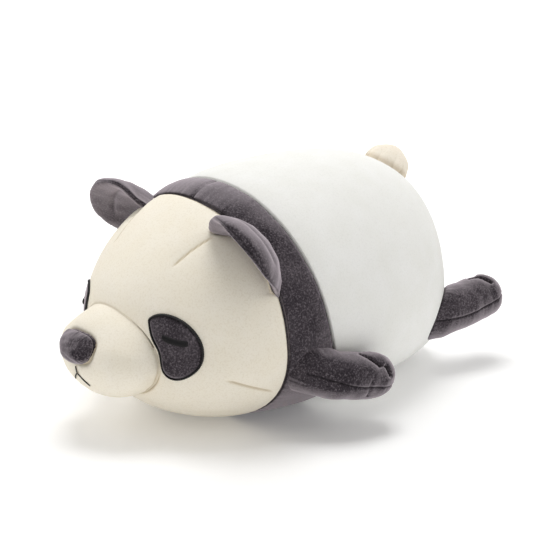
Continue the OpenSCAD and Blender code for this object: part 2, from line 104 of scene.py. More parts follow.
def to_scene(points: np.ndarray) -> np.ndarray:
    """Millimetres from the neck seam to metres in the frame."""
    return (points + np.array([0.0, NECK_Y, 0.0])) * MM


def from_scene(points: np.ndarray) -> np.ndarray:
    """Metres in the frame to millimetres from the neck seam."""
    return points / MM - np.array([0.0, NECK_Y, 0.0])


def spot(point: Sequence[float]) -> Triple:
    """One point in millimetres as a tuple in metres in the frame."""
    return tuple(float(c) for c in to_scene(np.asarray(point, dtype=float)))


def mirrored(path: np.ndarray) -> np.ndarray:
    """The same path on the other side of the panda."""
    return path * np.array([-1.0, 1.0, 1.0])


SIDES = (("left", np.asarray), ("right", mirrored))


def tuck(v: np.ndarray, rows: int, first: int, last: int, step: float) -> tuple[np.ndarray, ...]:
    """Splits a panel's rows into those that show and the hems turned in at its edges.

    Args:
        v: places along the panel, 0 to 1.
        rows: rows that show.
        first: hem rows before them.
        last: hem rows after them.
        step: how much further in each hem row lies, in millimetres.

    Returns:
        Places along the rows that show, 0 to 1, and how far in the points lie.
    """
    row = np.rint(v * (rows + first + last)) - first
    return np.clip(row / rows, 0.0, 1.0), step * (np.maximum(0.0, -row) + np.maximum(0.0, row - rows))


def nearest(points: np.ndarray, path: np.ndarray) -> tuple[np.ndarray, np.ndarray, float]:
    """Finds how far points are from a path.

    Args:
        points: points, one a row.
        path: corners of the path, one a row.

    Returns:
        The distances, the places along the path, and the path's length.
    """
    legs = np.linalg.norm(np.diff(path, axis=0), axis=1)
    run = np.concatenate([[0.0], np.cumsum(legs)])
    marks = np.linspace(0.0, run[-1], max(3, int(run[-1]) + 1))
    dense = np.stack([np.interp(marks, run, path[:, i]) for i in range(3)], axis=1)
    ahead = unit(np.gradient(dense, axis=0))
    step = marks[1] - marks[0]
    far = np.empty(len(points))
    place = np.empty(len(points))
    for first in range(0, len(points), 4096):
        block = points[first : first + 4096]
        square = (block**2).sum(1)[:, None] + (dense**2).sum(1) - 2.0 * block @ dense.T
        best = square.argmin(1)
        away = block - dense[best]
        slip = np.clip((away * ahead[best]).sum(1), -step / 2, step / 2)
        far[first : first + 4096] = np.linalg.norm(away - slip[:, None] * ahead[best], axis=1)
        place[first : first + 4096] = marks[best] + slip
    return far, place, float(run[-1])


def ripple(points: np.ndarray, length: float, seed: int) -> np.ndarray:
    """Soft unevenness of hand stuffing.

    Args:
        points: points in millimetres.
        length: typical distance from crest to crest.
        seed: picks one fixed pattern.

    Returns:
        Heights of about -1 to 1.
    """
    rng = np.random.default_rng(seed)
    total = np.zeros(len(points))
    for _ in range(9):
        way = unit(rng.normal(size=3)) * TURN / (length * rng.uniform(0.7, 1.6))
        total += np.sin(points @ way + rng.uniform(0.0, TURN))
    return total / 3.0


def wave(along: np.ndarray, pitch: float, seed: int) -> np.ndarray:
    """Uneven puckers along a seam, with crests about a pitch apart."""
    rng = np.random.default_rng(seed)
    total = np.zeros_like(along)
    for factor in (0.72, 1.0, 1.43, 2.1):
        total += np.sin(along * TURN / (pitch * factor) + rng.uniform(0.0, TURN)) / factor**0.3
    return total / 2.4


# ---- The body's form ----------------------------------------------------------------------------


@dataclass(frozen=True)
class SeamRing:
    """A seam round the body: its distance, its slope with height, and its bow at the sides."""

    distance: float
    slope: float
    bow: float


@dataclass(frozen=True)
class Loaf:
    """The stuffed form of head and trunk together, flat on the floor."""

    half_w: float = 120.0
    height: float = 216.0
    front_y: float = -94.0
    rear_y: float = 269.0
    face_end_z: float = 88.0
    rump_end_z: float = 21.0
    sag: float = 5.0
    taper: float = 0.13
    widest: float = 0.44
    plan_power: float = 2.25
    back_power: float = 2.7
    belly_power: float = 2.8
    round: float = 2.2
    hump: Triple = (9.5, -10.5, 31.0)
    settle: float = 4.0

    def section(self, y: np.ndarray, t: np.ndarray) -> tuple[np.ndarray, ...]:
        """Measures the cross-section at y.

        Args:
            y: distances along the body.
            t: depths under the outer surface.

        Returns:
            Half width, height of the widest line, top and bottom.
        """
        u = (y - (self.front_y + self.rear_y) / 2) / ((self.rear_y - self.front_y) / 2 - t)
        u = np.clip(u, -LAST_CUT, LAST_CUT)
        end = self.face_end_z * (1 - u) / 2 + self.rump_end_z * (1 + u) / 2
        half = (self.half_w - t) * cap(u, self.plan_power) * (1 - self.taper * u)
        first, second, third = self.hump
        lift = (first * u + second * u * u + third * u**3) * cap(u, 2.0)
        top = end + (self.height - t - end) * cap(u, self.back_power) + lift
        low = end - (end + self.sag - t) * cap(u, self.belly_power)
        return half, low + self.widest * (top - low), top, low

    def skin(self, y: np.ndarray, phi: np.ndarray, t: np.ndarray = 0.0) -> np.ndarray:
        """Finds points of the skin.

        Args:
            y: distances along the body.
            phi: angles round the section, from the left side over the back.
            t: depths under the outer surface.

        Returns:
            The points, settled flat on the floor.
        """
        half, mid, top, low = self.section(y, t)
        s = powered(np.sin(phi), self.round)
        z = mid + s * np.where(s > 0, top - mid, mid - low)
        over = z - t
        soft = np.where(over < -self.settle, 0.0, (over + self.settle) ** 2 / (4 * self.settle))
        z = np.where(over < self.settle, soft, over) + t
        return stack(half * powered(np.cos(phi), self.round), y, z)

    def depth(self, p: np.ndarray) -> np.ndarray:
        """About how far points lie inside the body, in millimetres, negative outside."""
        half, mid, top, low = self.section(p[..., 1], 0.0)
        rise = np.maximum(1.0, np.where(p[..., 2] > mid, top - mid, mid - low))
        half = np.maximum(1.0, half)
        across, upward = np.abs(p[..., 0] / half), np.abs((p[..., 2] - mid) / rise)
        reach = across**self.round + upward**self.round
        return (1.0 - reach ** (1.0 / self.round)) * np.minimum(half, rise)

    def entry(self, p: np.ndarray, way: np.ndarray, far: float, near: float) -> np.ndarray:
        """Finds how far along a direction lines enter the body.

        Args:
            p: the lines' points.
            way: their direction.
            far: a distance at which they are outside.
            near: a distance at which they are inside.

        Returns:
            The distances.
        """
        out = np.full(p.shape[:-1], far, dtype=float)
        deep = np.full(p.shape[:-1], near, dtype=float)
        for _ in range(20):
            mid = (out + deep) / 2
            within = self.depth(p + mid[..., None] * way) > 0
            deep = np.where(within, mid, deep)
            out = np.where(within, out, mid)
        return (out + deep) / 2

    def phi_of(self, p: np.ndarray) -> np.ndarray:
        """Angles round the section of points on the surface."""
        half, mid, top, low = self.section(p[..., 1], 0.0)
        dz = p[..., 2] - mid
        rise = np.where(dz > 0, top - mid, mid - low)
        up = np.sign(dz) * np.abs(dz / rise) ** (self.round / 2)
        return np.arctan2(up, np.sign(p[..., 0]) * np.abs(p[..., 0] / half) ** (self.round / 2))

    def seam_y(self, seam: SeamRing, phi: np.ndarray) -> np.ndarray:
        """Distances along the body at which a seam ring crosses the angles phi."""
        y = np.full(np.shape(phi), 20.0)
        for _ in range(6):
            p = self.skin(y, phi)
            bow = seam.bow * (p[..., 0] / self.half_w) ** 2
            y = seam.distance + seam.slope * (p[..., 2] - SEAM_Z) + bow
        return y

    def foot_phi(self, y: np.ndarray) -> np.ndarray:
        """Angles at which the left flank meets the floor."""
        _, mid, _, low = self.section(y, 0.0)
        return -np.arcsin(np.minimum(1.0, mid / (mid - low)) ** (self.round / 2))


LOAF = Loaf()
NECK = SeamRing(0.0, -0.064, 10.0)
SHOULDER = SeamRing(52.0, -0.25, 2.0)


def ring_path(seam: SeamRing) -> np.ndarray:
    """The closed line of a seam ring on the skin."""
    phi = np.linspace(0.0, TURN, 361)
    return LOAF.skin(LOAF.seam_y(seam, phi), phi)


def on_skin(corners: Sequence[Sequence[float]], steps: int = 24) -> np.ndarray:
    """Lays a line of corners on the skin.

    Args:
        corners: rough points near the skin, one a row.
        steps: points wanted between two corners.

    Returns:
        Points of the line, pulled to the skin from the middle of the section.
    """
    corners = np.asarray(corners, dtype=float)
    runs = np.linspace(0.0, len(corners) - 1.0, steps * (len(corners) - 1) + 1)
    line = np.stack([np.interp(runs, np.arange(len(corners)), corners[:, i]) for i in range(3)], 1)
    return LOAF.skin(line[:, 1], LOAF.phi_of(line))


# ---- Relief: what seams, darts and stuffing do to a smooth panel --------------------------------


@dataclass(frozen=True)
class Seam:
    """A line of stitching, which draws the fabric in and puckers it.

    depth and width shape the groove, dip and spread the wide hollow round it, and pucker, pitch
    and reach the small folds across it. fade softens both ends of a dart. tone is the painted
    shade in the groove, 0 to 1.
    """

    path: np.ndarray
    depth: float = 1.3
    width: float = 1.3
    dip: float = 1.0
    spread: float = 9.0
    pucker: float = 0.22
    pitch: float = 8.0
    reach: float = 7.0
    fade: float = 0.0
    tone: float = 1.0
    seed: int = 1

    def relief(self, points: np.ndarray) -> tuple[np.ndarray, np.ndarray]:
        """Works out the seam's mark on points of a panel.

        Args:
            points: points in millimetres.

        Returns:
            Heights to add along the normals, and how much painted shade each point gets in the groove, 0 to
            1.
        """
        far, place, length = nearest(points, self.path)
        ends = np.ones_like(far)
        if self.fade > 0:
            ends = np.clip(np.minimum(place, length - place) / self.fade, 0.0, 1.0)
            ends = ends * ends * (3 - 2 * ends)
            beyond = (place <= 0.01) | (place >= length - 0.01)
            ends = np.where(beyond, 0.0, ends)
        tight = np.exp(-((far / self.width) ** 2))
        height = -self.depth * tight - self.dip * np.exp(-((far / self.spread) ** 2))
        folds = wave(place, self.pitch, self.seed) * np.exp(-far / self.reach) * (1 - tight)
        return (height + self.pucker * folds) * ends, self.tone * tight * ends


def style(
    depth: float, width: float, dip: float, spread: float, pucker: float, pitch: float, reach: float
) -> dict[str, float]:
    """The shape of one kind of seam, in the order of the fields of Seam."""
    return {
        "depth": depth,
        "width": width,
        "dip": dip,
        "spread": spread,
        "pucker": pucker,
        "pitch": pitch,
        "reach": reach,
    }


# The tone of each style is the painted shade in its groove, which darkens the velour there.
MUZZLE_SEAM = style(0.4, 1.3, 0.4, 7.0, 0.16, 9.0, 6.0) | {"tone": 0.35}
MUZZLE_UNDER = style(0.5, 1.3, 0.4, 7.0, 0.0, 8.0, 7.0) | {"tone": 0.75, "fade": 30.0}
MOUTH_LINE = style(0.9, 1.1, 0.5, 4.0, 0.08, 4.0, 4.0) | {"tone": 0.5}
LIP_FOLD = style(0.5, 2.5, 0.6, 8.0, 0.0, 8.0, 7.0) | {"tone": 0.1, "fade": 8.0}
DART = style(1.1, 1.3, 1.3, 8.0, 0.15, 7.0, 6.0) | {"tone": 0.95, "fade": 12.0}
FLANK_SEAM = style(0.8, 1.5, 0.5, 8.0, 0.3, 9.0, 9.0) | {"tone": 0.6, "fade": 10.0}
LIMB_SEAM = style(0.9, 1.1, 0.6, 6.0, 0.25, 6.0, 6.0) | {"tone": 0.8, "fade": 2.0}
TOE_SLIT = style(4.6, 1.7, 1.6, 5.5, 0.35, 5.0, 6.0) | {"tone": 1.0, "fade": 3.0}
LIMB_ROOT = {"width": 2.2, "dip": 0.2, "spread": 6.0, "pucker": 0.3, "pitch": 7.0, "reach": 8.0}


@dataclass(frozen=True)
class Unevenness:
    """Soft lumps of stuffing under a panel."""

    height: float
    length: float
    seed: int

    def relief(self, points: np.ndarray) -> tuple[np.ndarray, np.ndarray]:
        """Heights of the lumps at points, and no painted shade."""
        return self.height * ripple(points, self.length, self.seed), np.zeros(len(points))


@dataclass(frozen=True)
class Dimple:
    """A soft hollow or swelling round one point."""

    centre: Triple
    height: float
    radius: float
    tone: float = 0.0

    def relief(self, points: np.ndarray) -> tuple[np.ndarray, np.ndarray]:
        """Heights at points, and a touch of painted shade in the middle."""
        far = np.linalg.norm(points - np.asarray(self.centre), axis=1)
        soft = np.exp(-((far / self.radius) ** 2))
        return self.height * soft, self.tone * soft


# ---- Handling of meshes -------------------------------------------------------------------------


def only(obj: bpy.types.Object) -> None:
    """Selects one object and makes it the active one."""
    bpy.ops.object.select_all(action="DESELECT")
    obj.select_set(True)
    bpy.context.view_layer.objects.active = obj


def read_points(mesh: bpy.types.Mesh) -> np.ndarray:
    """The mesh's vertices, one a row, in metres."""
    flat = np.empty(len(mesh.vertices) * 3)
    mesh.vertices.foreach_get("co", flat)
    return flat.reshape(-1, 3)


def write_points(mesh: bpy.types.Mesh, points: np.ndarray) -> None:
    """Puts the mesh's vertices in new places, in metres."""
    mesh.vertices.foreach_set("co", points.ravel())
    mesh.update()


def paint(mesh: bpy.types.Mesh, name: str, values: np.ndarray) -> None:
    """Stores one number a vertex for the material to read."""
    layer = mesh.attributes.get(name) or mesh.attributes.new(name, "FLOAT", "POINT")
    layer.data.foreach_set("value", np.clip(values, 0.0, 1.0))


def weld(obj: bpy.types.Object, gap: float = 5e-6) -> None:
    """Merges meeting edges and turns all faces outwards."""
    only(obj)
    bpy.ops.object.mode_set(mode="EDIT")
    bpy.ops.mesh.select_all(action="SELECT")
    bpy.ops.mesh.remove_doubles(threshold=gap)
    bpy.ops.mesh.normals_make_consistent(inside=False)
    bpy.ops.object.mode_set(mode="OBJECT")
    bpy.ops.object.shade_smooth()


def lay_panel(name: str, columns: int, rows: int, place: Place) -> bpy.types.Object:
    """Cuts a panel as a flat grid and lays it in place.

    Args:
        name: the piece's name.
        columns: faces across.
        rows: faces from the first edge to the last.
        place: gives points in millimetres for places u across and v along, each 0 to 1.

    Returns:
        The panel, its meeting edges merged.
    """
    bpy.ops.object.select_all(action="DESELECT")
    bpy.ops.mesh.primitive_grid_add(x_subdivisions=columns, y_subdivisions=rows, size=2.0)
    obj = bpy.context.object
    obj.name = obj.data.name = name
    flat = read_points(obj.data)
    write_points(obj.data, to_scene(place((flat[:, 0] + 1) / 2, (flat[:, 1] + 1) / 2)))
    weld(obj)
    return obj


def emboss(obj: bpy.types.Object, reliefs: Sequence) -> None:
    """Presses seams and stuffing into a panel along its normals, and paints the shade of its grooves.

    Args:
        obj: the panel.
        reliefs: seams, lumps and dimples, whose heights add up.
    """
    mesh = obj.data
    points = from_scene(read_points(mesh))
    normals = np.empty(len(points) * 3)
    mesh.vertex_normals.foreach_get("vector", normals)
    height = np.zeros(len(points))
    crease = np.zeros(len(points))
    for item in reliefs:
        more, dark = item.relief(points)
        height += more
        crease = np.maximum(crease, dark)
    pressed = points + normals.reshape(-1, 3) * height[:, None]
    pressed[:, 2] = np.maximum(pressed[:, 2], 0.0)
    write_points(mesh, to_scene(pressed))
    # The painted shade of the grooves, one number per vertex, which darkens the velour's colour.
    paint(mesh, "crease", crease)


def mirror_copy(obj: bpy.types.Object, name: str) -> bpy.types.Object:
    """Copies a piece to the panda's other side with its own mesh, faces outwards."""
    only(obj)
    bpy.ops.object.duplicate(linked=False)
    twin = bpy.context.object
    twin.name = twin.data.name = name
    write_points(twin.data, read_points(twin.data) * np.array([-1.0, 1.0, 1.0]))
    bpy.ops.object.mode_set(mode="EDIT")
    bpy.ops.mesh.select_all(action="SELECT")
    bpy.ops.mesh.flip_normals()
    bpy.ops.object.mode_set(mode="OBJECT")
    return twin


def tube(name: str, path: np.ndarray, radius: float, sides: int = 10) -> bpy.types.Object:
    """Twists a thread along a path.

    Args:
        name: the piece's name.
        path: points in millimetres, one a row.
        radius: the thread's radius in millimetres, full in the middle and thin at the ends.
        sides: faces round the thread.

    Returns:
        The thread as a closed mesh.
    """
    ahead = unit(np.gradient(path, axis=0))
    side = unit(np.cross(ahead, np.array([0.11, 0.37, 0.92])))
    over = np.cross(side, ahead)
    count = len(path) - 1

    def place(u: np.ndarray, v: np.ndarray) -> np.ndarray:
        """Points round the thread at u, along it at v."""
        j = np.rint(v * count).astype(int)
        full = radius * cap(2 * v - 1, 8.0)
        spread = np.cos(u * TURN)[:, None] * side[j] + np.sin(u * TURN)[:, None] * over[j]
        return path[j] + full[:, None] * spread

    return lay_panel(name, sides, count, place)


def sew_threads(
    name: str, paths: Sequence[np.ndarray], radius: float, sides: int = 10
) -> bpy.types.Object:
    """Twists a thread along each path and joins them into one piece.

    Args:
        name: the piece's name.
        paths: the threads' middle lines in millimetres.
        radius: the threads' radius in millimetres.
        sides: faces round a thread.

    Returns:
        The joined threads.
    """
    threads = [tube(f"{name}_{number}", path, radius, sides) for number, path in enumerate(paths)]
    only(threads[0])
    for thread in threads:
        thread.select_set(True)
    bpy.ops.object.join()
    joined = bpy.context.object
    joined.name = joined.data.name = name
    return joined


# ---- Finishes -----------------------------------------------------------------------------------


def linear(red: float, green: float, blue: float) -> tuple[float, float, float, float]:
    """A colour given on the 0 to 255 display scale, as the shader wants it."""
    parts = [c / 255.0 for c in (red, green, blue)]
    light = [c / 12.92 if c <= 0.04045 else ((c + 0.055) / 1.055) ** 2.4 for c in parts]
    return (light[0], light[1], light[2], 1.0)


class NodeSheet:
    """A material's node tree with short ways to add to it."""

    def __init__(self, name: str) -> None:
        """Starts a material of one principled shader."""
        self.material = bpy.data.materials.new(name)
        self.material.use_nodes = True
        self.tree = self.material.node_tree
        self.tree.nodes.clear()
        self.shader = self.tree.nodes.new("ShaderNodeBsdfPrincipled")
        out = self.tree.nodes.new("ShaderNodeOutputMaterial")
        self.tree.links.new(self.shader.outputs[0], out.inputs[0])
        self.coords = self.tree.nodes.new("ShaderNodeTexCoord")

    def link(self, source: bpy.types.NodeSocket, target: bpy.types.NodeSocket) -> None:
        """Joins two sockets."""
        self.tree.links.new(source, target)

    def settle(self, **values: float | tuple) -> None:
        """Sets sockets of the shader directly, named with _ for each space."""
        for name, value in values.items():
            self.shader.inputs[name.replace("_", " ")].default_value = value

    def noise(self, scale: float, detail: float, rough: float = 0.5) -> bpy.types.NodeSocket:
        """Noise in the object's own space, with scale in cells a metre."""
        node = self.tree.nodes.new("ShaderNodeTexNoise")
        node.inputs["Scale"].default_value = scale
        node.inputs["Detail"].default_value = detail
        node.inputs["Roughness"].default_value = rough
        self.link(self.coords.outputs["Object"], node.inputs["Vector"])
        return node.outputs["Fac"]

    def attribute(self, name: str) -> bpy.types.NodeSocket:
        """Reads one painted number."""
        node = self.tree.nodes.new("ShaderNodeAttribute")
        node.attribute_name = name
        return node.outputs["Fac"]

    def glancing(self, blend: float, most: float) -> bpy.types.NodeSocket:
        """Painted sheen: how much of the bright colour goes on where the surface turns away from the view,
        up to most.
        """
        node = self.tree.nodes.new("ShaderNodeLayerWeight")
        node.inputs["Blend"].default_value = blend
        return self.spread(node.outputs["Facing"], 0.2, 0.95, 0.0, most)

    def spread(
        self, source: bpy.types.NodeSocket, low: float, high: float, bottom: float, top: float
    ) -> bpy.types.NodeSocket:
        """Maps the range low to high on to bottom to top."""
        node = self.tree.nodes.new("ShaderNodeMapRange")
        ends = {"From Min": low, "From Max": high, "To Min": bottom, "To Max": top}
        for socket, value in ends.items():
            node.inputs[socket].default_value = value
        self.link(source, node.inputs["Value"])
        return node.outputs["Result"]

    def mix(
        self,
        amount: bpy.types.NodeSocket,
        first: bpy.types.NodeSocket | tuple,
        second: bpy.types.NodeSocket | tuple,
    ) -> bpy.types.NodeSocket:
        """Mixes two colours by an amount of 0 to 1."""
        node = self.tree.nodes.new("ShaderNodeMix")
        node.data_type = "RGBA"
        self.link(amount, node.inputs["Factor"])
        for value, target in ((first, node.inputs[6]), (second, node.inputs[7])):
            if isinstance(value, tuple):
                target.default_value = value
            else:
                self.link(value, target)
        return node.outputs[2]

    def bump(
        self,
        height: bpy.types.NodeSocket,
        strength: float,
        distance: float,
        under: bpy.types.NodeSocket | None = None,
    ) -> bpy.types.NodeSocket:
        """Turns heights into a bump on top of another."""
        node = self.tree.nodes.new("ShaderNodeBump")
        node.inputs["Strength"].default_value = strength
        node.inputs["Distance"].default_value = distance
        self.link(height, node.inputs["Height"])
        if under is not None:
            self.link(under, node.inputs["Normal"])
        return node.outputs["Normal"]


@dataclass(frozen=True)
class Velour:
    """Short-pile stretch velour.

    pile and brushed are the colours of its tips, bright that of light single tufts and of the painted
    sheen, and root that of the gaps between tufts and of the painted shade in seams and creases. nap
    is the contrast of brushed patches, grain that of single tufts, and bloom how much of the bright
    colour is painted on as sheen where the surface turns away from the view. sheen and sheen_tint
    are the shader's own, for the fuzz at a glancing angle. Scales are in cells a metre.
    """

    name: str
    slot: str
    pile: Triple
    brushed: Triple
    bright: Triple
    root: Triple
    sheen: float
    sheen_tint: Triple
    nap: float
    grain: float
    painted_sheen: float
    patch_scale: float = 38.0
    wrinkle_scale: float = 150.0
    tuft_scale: float = 620.0
    fibre_scale: float = 900.0
    fuzz: float = 0.7
    roughness: float = 0.92
    sheen_roughness: float = 0.22

    def make(self) -> bpy.types.Material:
        """Builds the material.

        Returns:
            The finished material.
        """
        sheet = NodeSheet(self.name)
        bright, root = linear(*self.bright), linear(*self.root)
        patches = sheet.spread(sheet.noise(self.patch_scale, 3.0), 0.35, 0.68, 0.0, self.nap)
        colour = sheet.mix(patches, linear(*self.pile), linear(*self.brushed))
        fibres = sheet.noise(self.fibre_scale, 3.0, self.fuzz)
        tufts = sheet.noise(self.tuft_scale, 3.0, self.fuzz)
        colour = sheet.mix(sheet.spread(tufts, 0.52, 0.66, 0.0, 0.45 * self.grain), colour, bright)
        colour = sheet.mix(sheet.spread(tufts, 0.36, 0.5, self.grain, 0.0), colour, root)
        # Painted sheen: the bright colour mixed in where the surface turns away from the view.
        colour = sheet.mix(sheet.glancing(0.5, self.painted_sheen), colour, bright)
        # Painted shade: the root colour mixed in along grooves and folds, as painted per vertex.
        crease = sheet.spread(sheet.attribute("crease"), 0.15, 0.95, 0.0, 0.9)
        sheet.link(sheet.mix(crease, colour, root), sheet.shader.inputs["Base Color"])
        wrinkles = sheet.bump(sheet.noise(self.wrinkle_scale, 2.0), 0.12, 1.0 * MM)
        sheet.link(sheet.bump(fibres, 0.35, 0.4 * MM, wrinkles), sheet.shader.inputs["Normal"])
        sheet.settle(
            Roughness=self.roughness,
            Specular_IOR_Level=0.0,
            Sheen_Weight=self.sheen,
            Sheen_Roughness=self.sheen_roughness,
            Sheen_Tint=linear(*self.sheen_tint),
        )
        return sheet.material


@dataclass(frozen=True)
class Thread:
    """Stitching thread or woven tape: fine twisted strands with a soft shine.

    colour and shade are those of the strands and the gaps, and strands their scale in cells a
    metre.
    """

    name: str
    slot: str
    colour: Triple
    shade: Triple
    roughness: float
    strands: float
    unevenness: float = 0.08

    def make(self) -> bpy.types.Material:
        """Builds the material.

        Returns:
            The finished material.
        """
        sheet = NodeSheet(self.name)
        strand = sheet.noise(self.strands, 2.0, 0.6)
        gaps = sheet.spread(strand, 0.35, 0.65, 0.0, 1.0)
        colour = sheet.mix(gaps, linear(*self.colour), linear(*self.shade))
        sheet.link(colour, sheet.shader.inputs["Base Color"])
        sheet.link(sheet.bump(strand, 0.5, 0.3 * MM), sheet.shader.inputs["Normal"])
        smooth, dull = self.roughness - self.unevenness, self.roughness + self.unevenness
        rough = sheet.spread(strand, 0.3, 0.7, smooth, dull)
        sheet.link(rough, sheet.shader.inputs["Roughness"])
        sheet.settle(Specular_IOR_Level=0.4)
        return sheet.material


class Finish(Enum):
    """The panda's finishes, each made once and shared by its pieces."""

    # Each velour's root colour is also the painted shade in its seams and creases.
    CREAM = Velour(
        "cream_pile",
        "cream_velour",
        pile=(245, 238, 222),
        brushed=(247, 241, 228),
        bright=(250, 246, 238),
        root=(196, 178, 146),
        sheen=0.05,
        sheen_tint=(255, 252, 246),
        nap=0.8,
        grain=0.15,
        painted_sheen=0.0,
    )
    WHITE = Velour(
        "white_pile",
        "white_velour",
        pile=(238, 238, 234),
        brushed=(242, 242, 240),
        bright=(248, 248, 247),
        root=(196, 194, 191),
        sheen=0.05,
        sheen_tint=(255, 255, 255),
        nap=0.8,
        grain=0.12,
        painted_sheen=0.0,
    )
    TAIL = Velour(
        "tail_pile",
        "tail_velour",
        pile=(245, 236, 220),
        brushed=(247, 240, 227),
        bright=(250, 246, 238),
        root=(190, 170, 140),
        sheen=0.05,
        sheen_tint=(255, 252, 246),
        nap=0.9,
        grain=0.18,
        painted_sheen=0.0,
    )
    # The charcoal's bright colour is mostly painted sheen, where the surface turns away from the view.
    CHARCOAL = Velour(
        "charcoal_pile",
        "charcoal_velour",
        pile=(60, 55, 60),
        brushed=(84, 78, 83),
        bright=(186, 177, 183),
        root=(22, 20, 22),
        sheen=0.3,
        sheen_tint=(250, 238, 248),
        nap=1.0,
        grain=0.5,
        painted_sheen=0.85,
    )
    BLACK_THREAD = Thread("black_stitching", "black_thread", (8, 7, 8), (20, 18, 21), 0.6, 1500.0)
    WHITE_THREAD = Thread("white_stitching", "white_thread", (236, 235, 230), (214, 212, 206), 0.55, 1500.0)
    TAPE = Thread("tape_weave", "label_tape", (242, 241, 238), (226, 225, 221), 0.6, 2400.0)
    FIBRE = Thread("loose_fibre", "fibre_filling", (247, 247, 244), (232, 232, 228), 0.9, 320.0)

    def material(self) -> bpy.types.Material:
        """The finish's material, made at its first use."""
        return bpy.data.materials.get(self.value.name) or self.value.make()


def dress(obj: bpy.types.Object, finish: Finish, replaced: Sequence[str]) -> None:
    """Gives a piece its finish and hides the CAD nodes it stands for.

    Args:
        obj: the piece.
        finish: its finish.
        replaced: the CAD nodes it stands for.
    """
    obj.data.materials.clear()
    obj.data.materials.append(finish.material())
    if replaced:
        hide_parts(*replaced)
    log.info("%s: %d faces, %s", obj.name, len(obj.data.polygons), finish.value.name)


# ---- Head ---------------------------------------------------------------------------------------

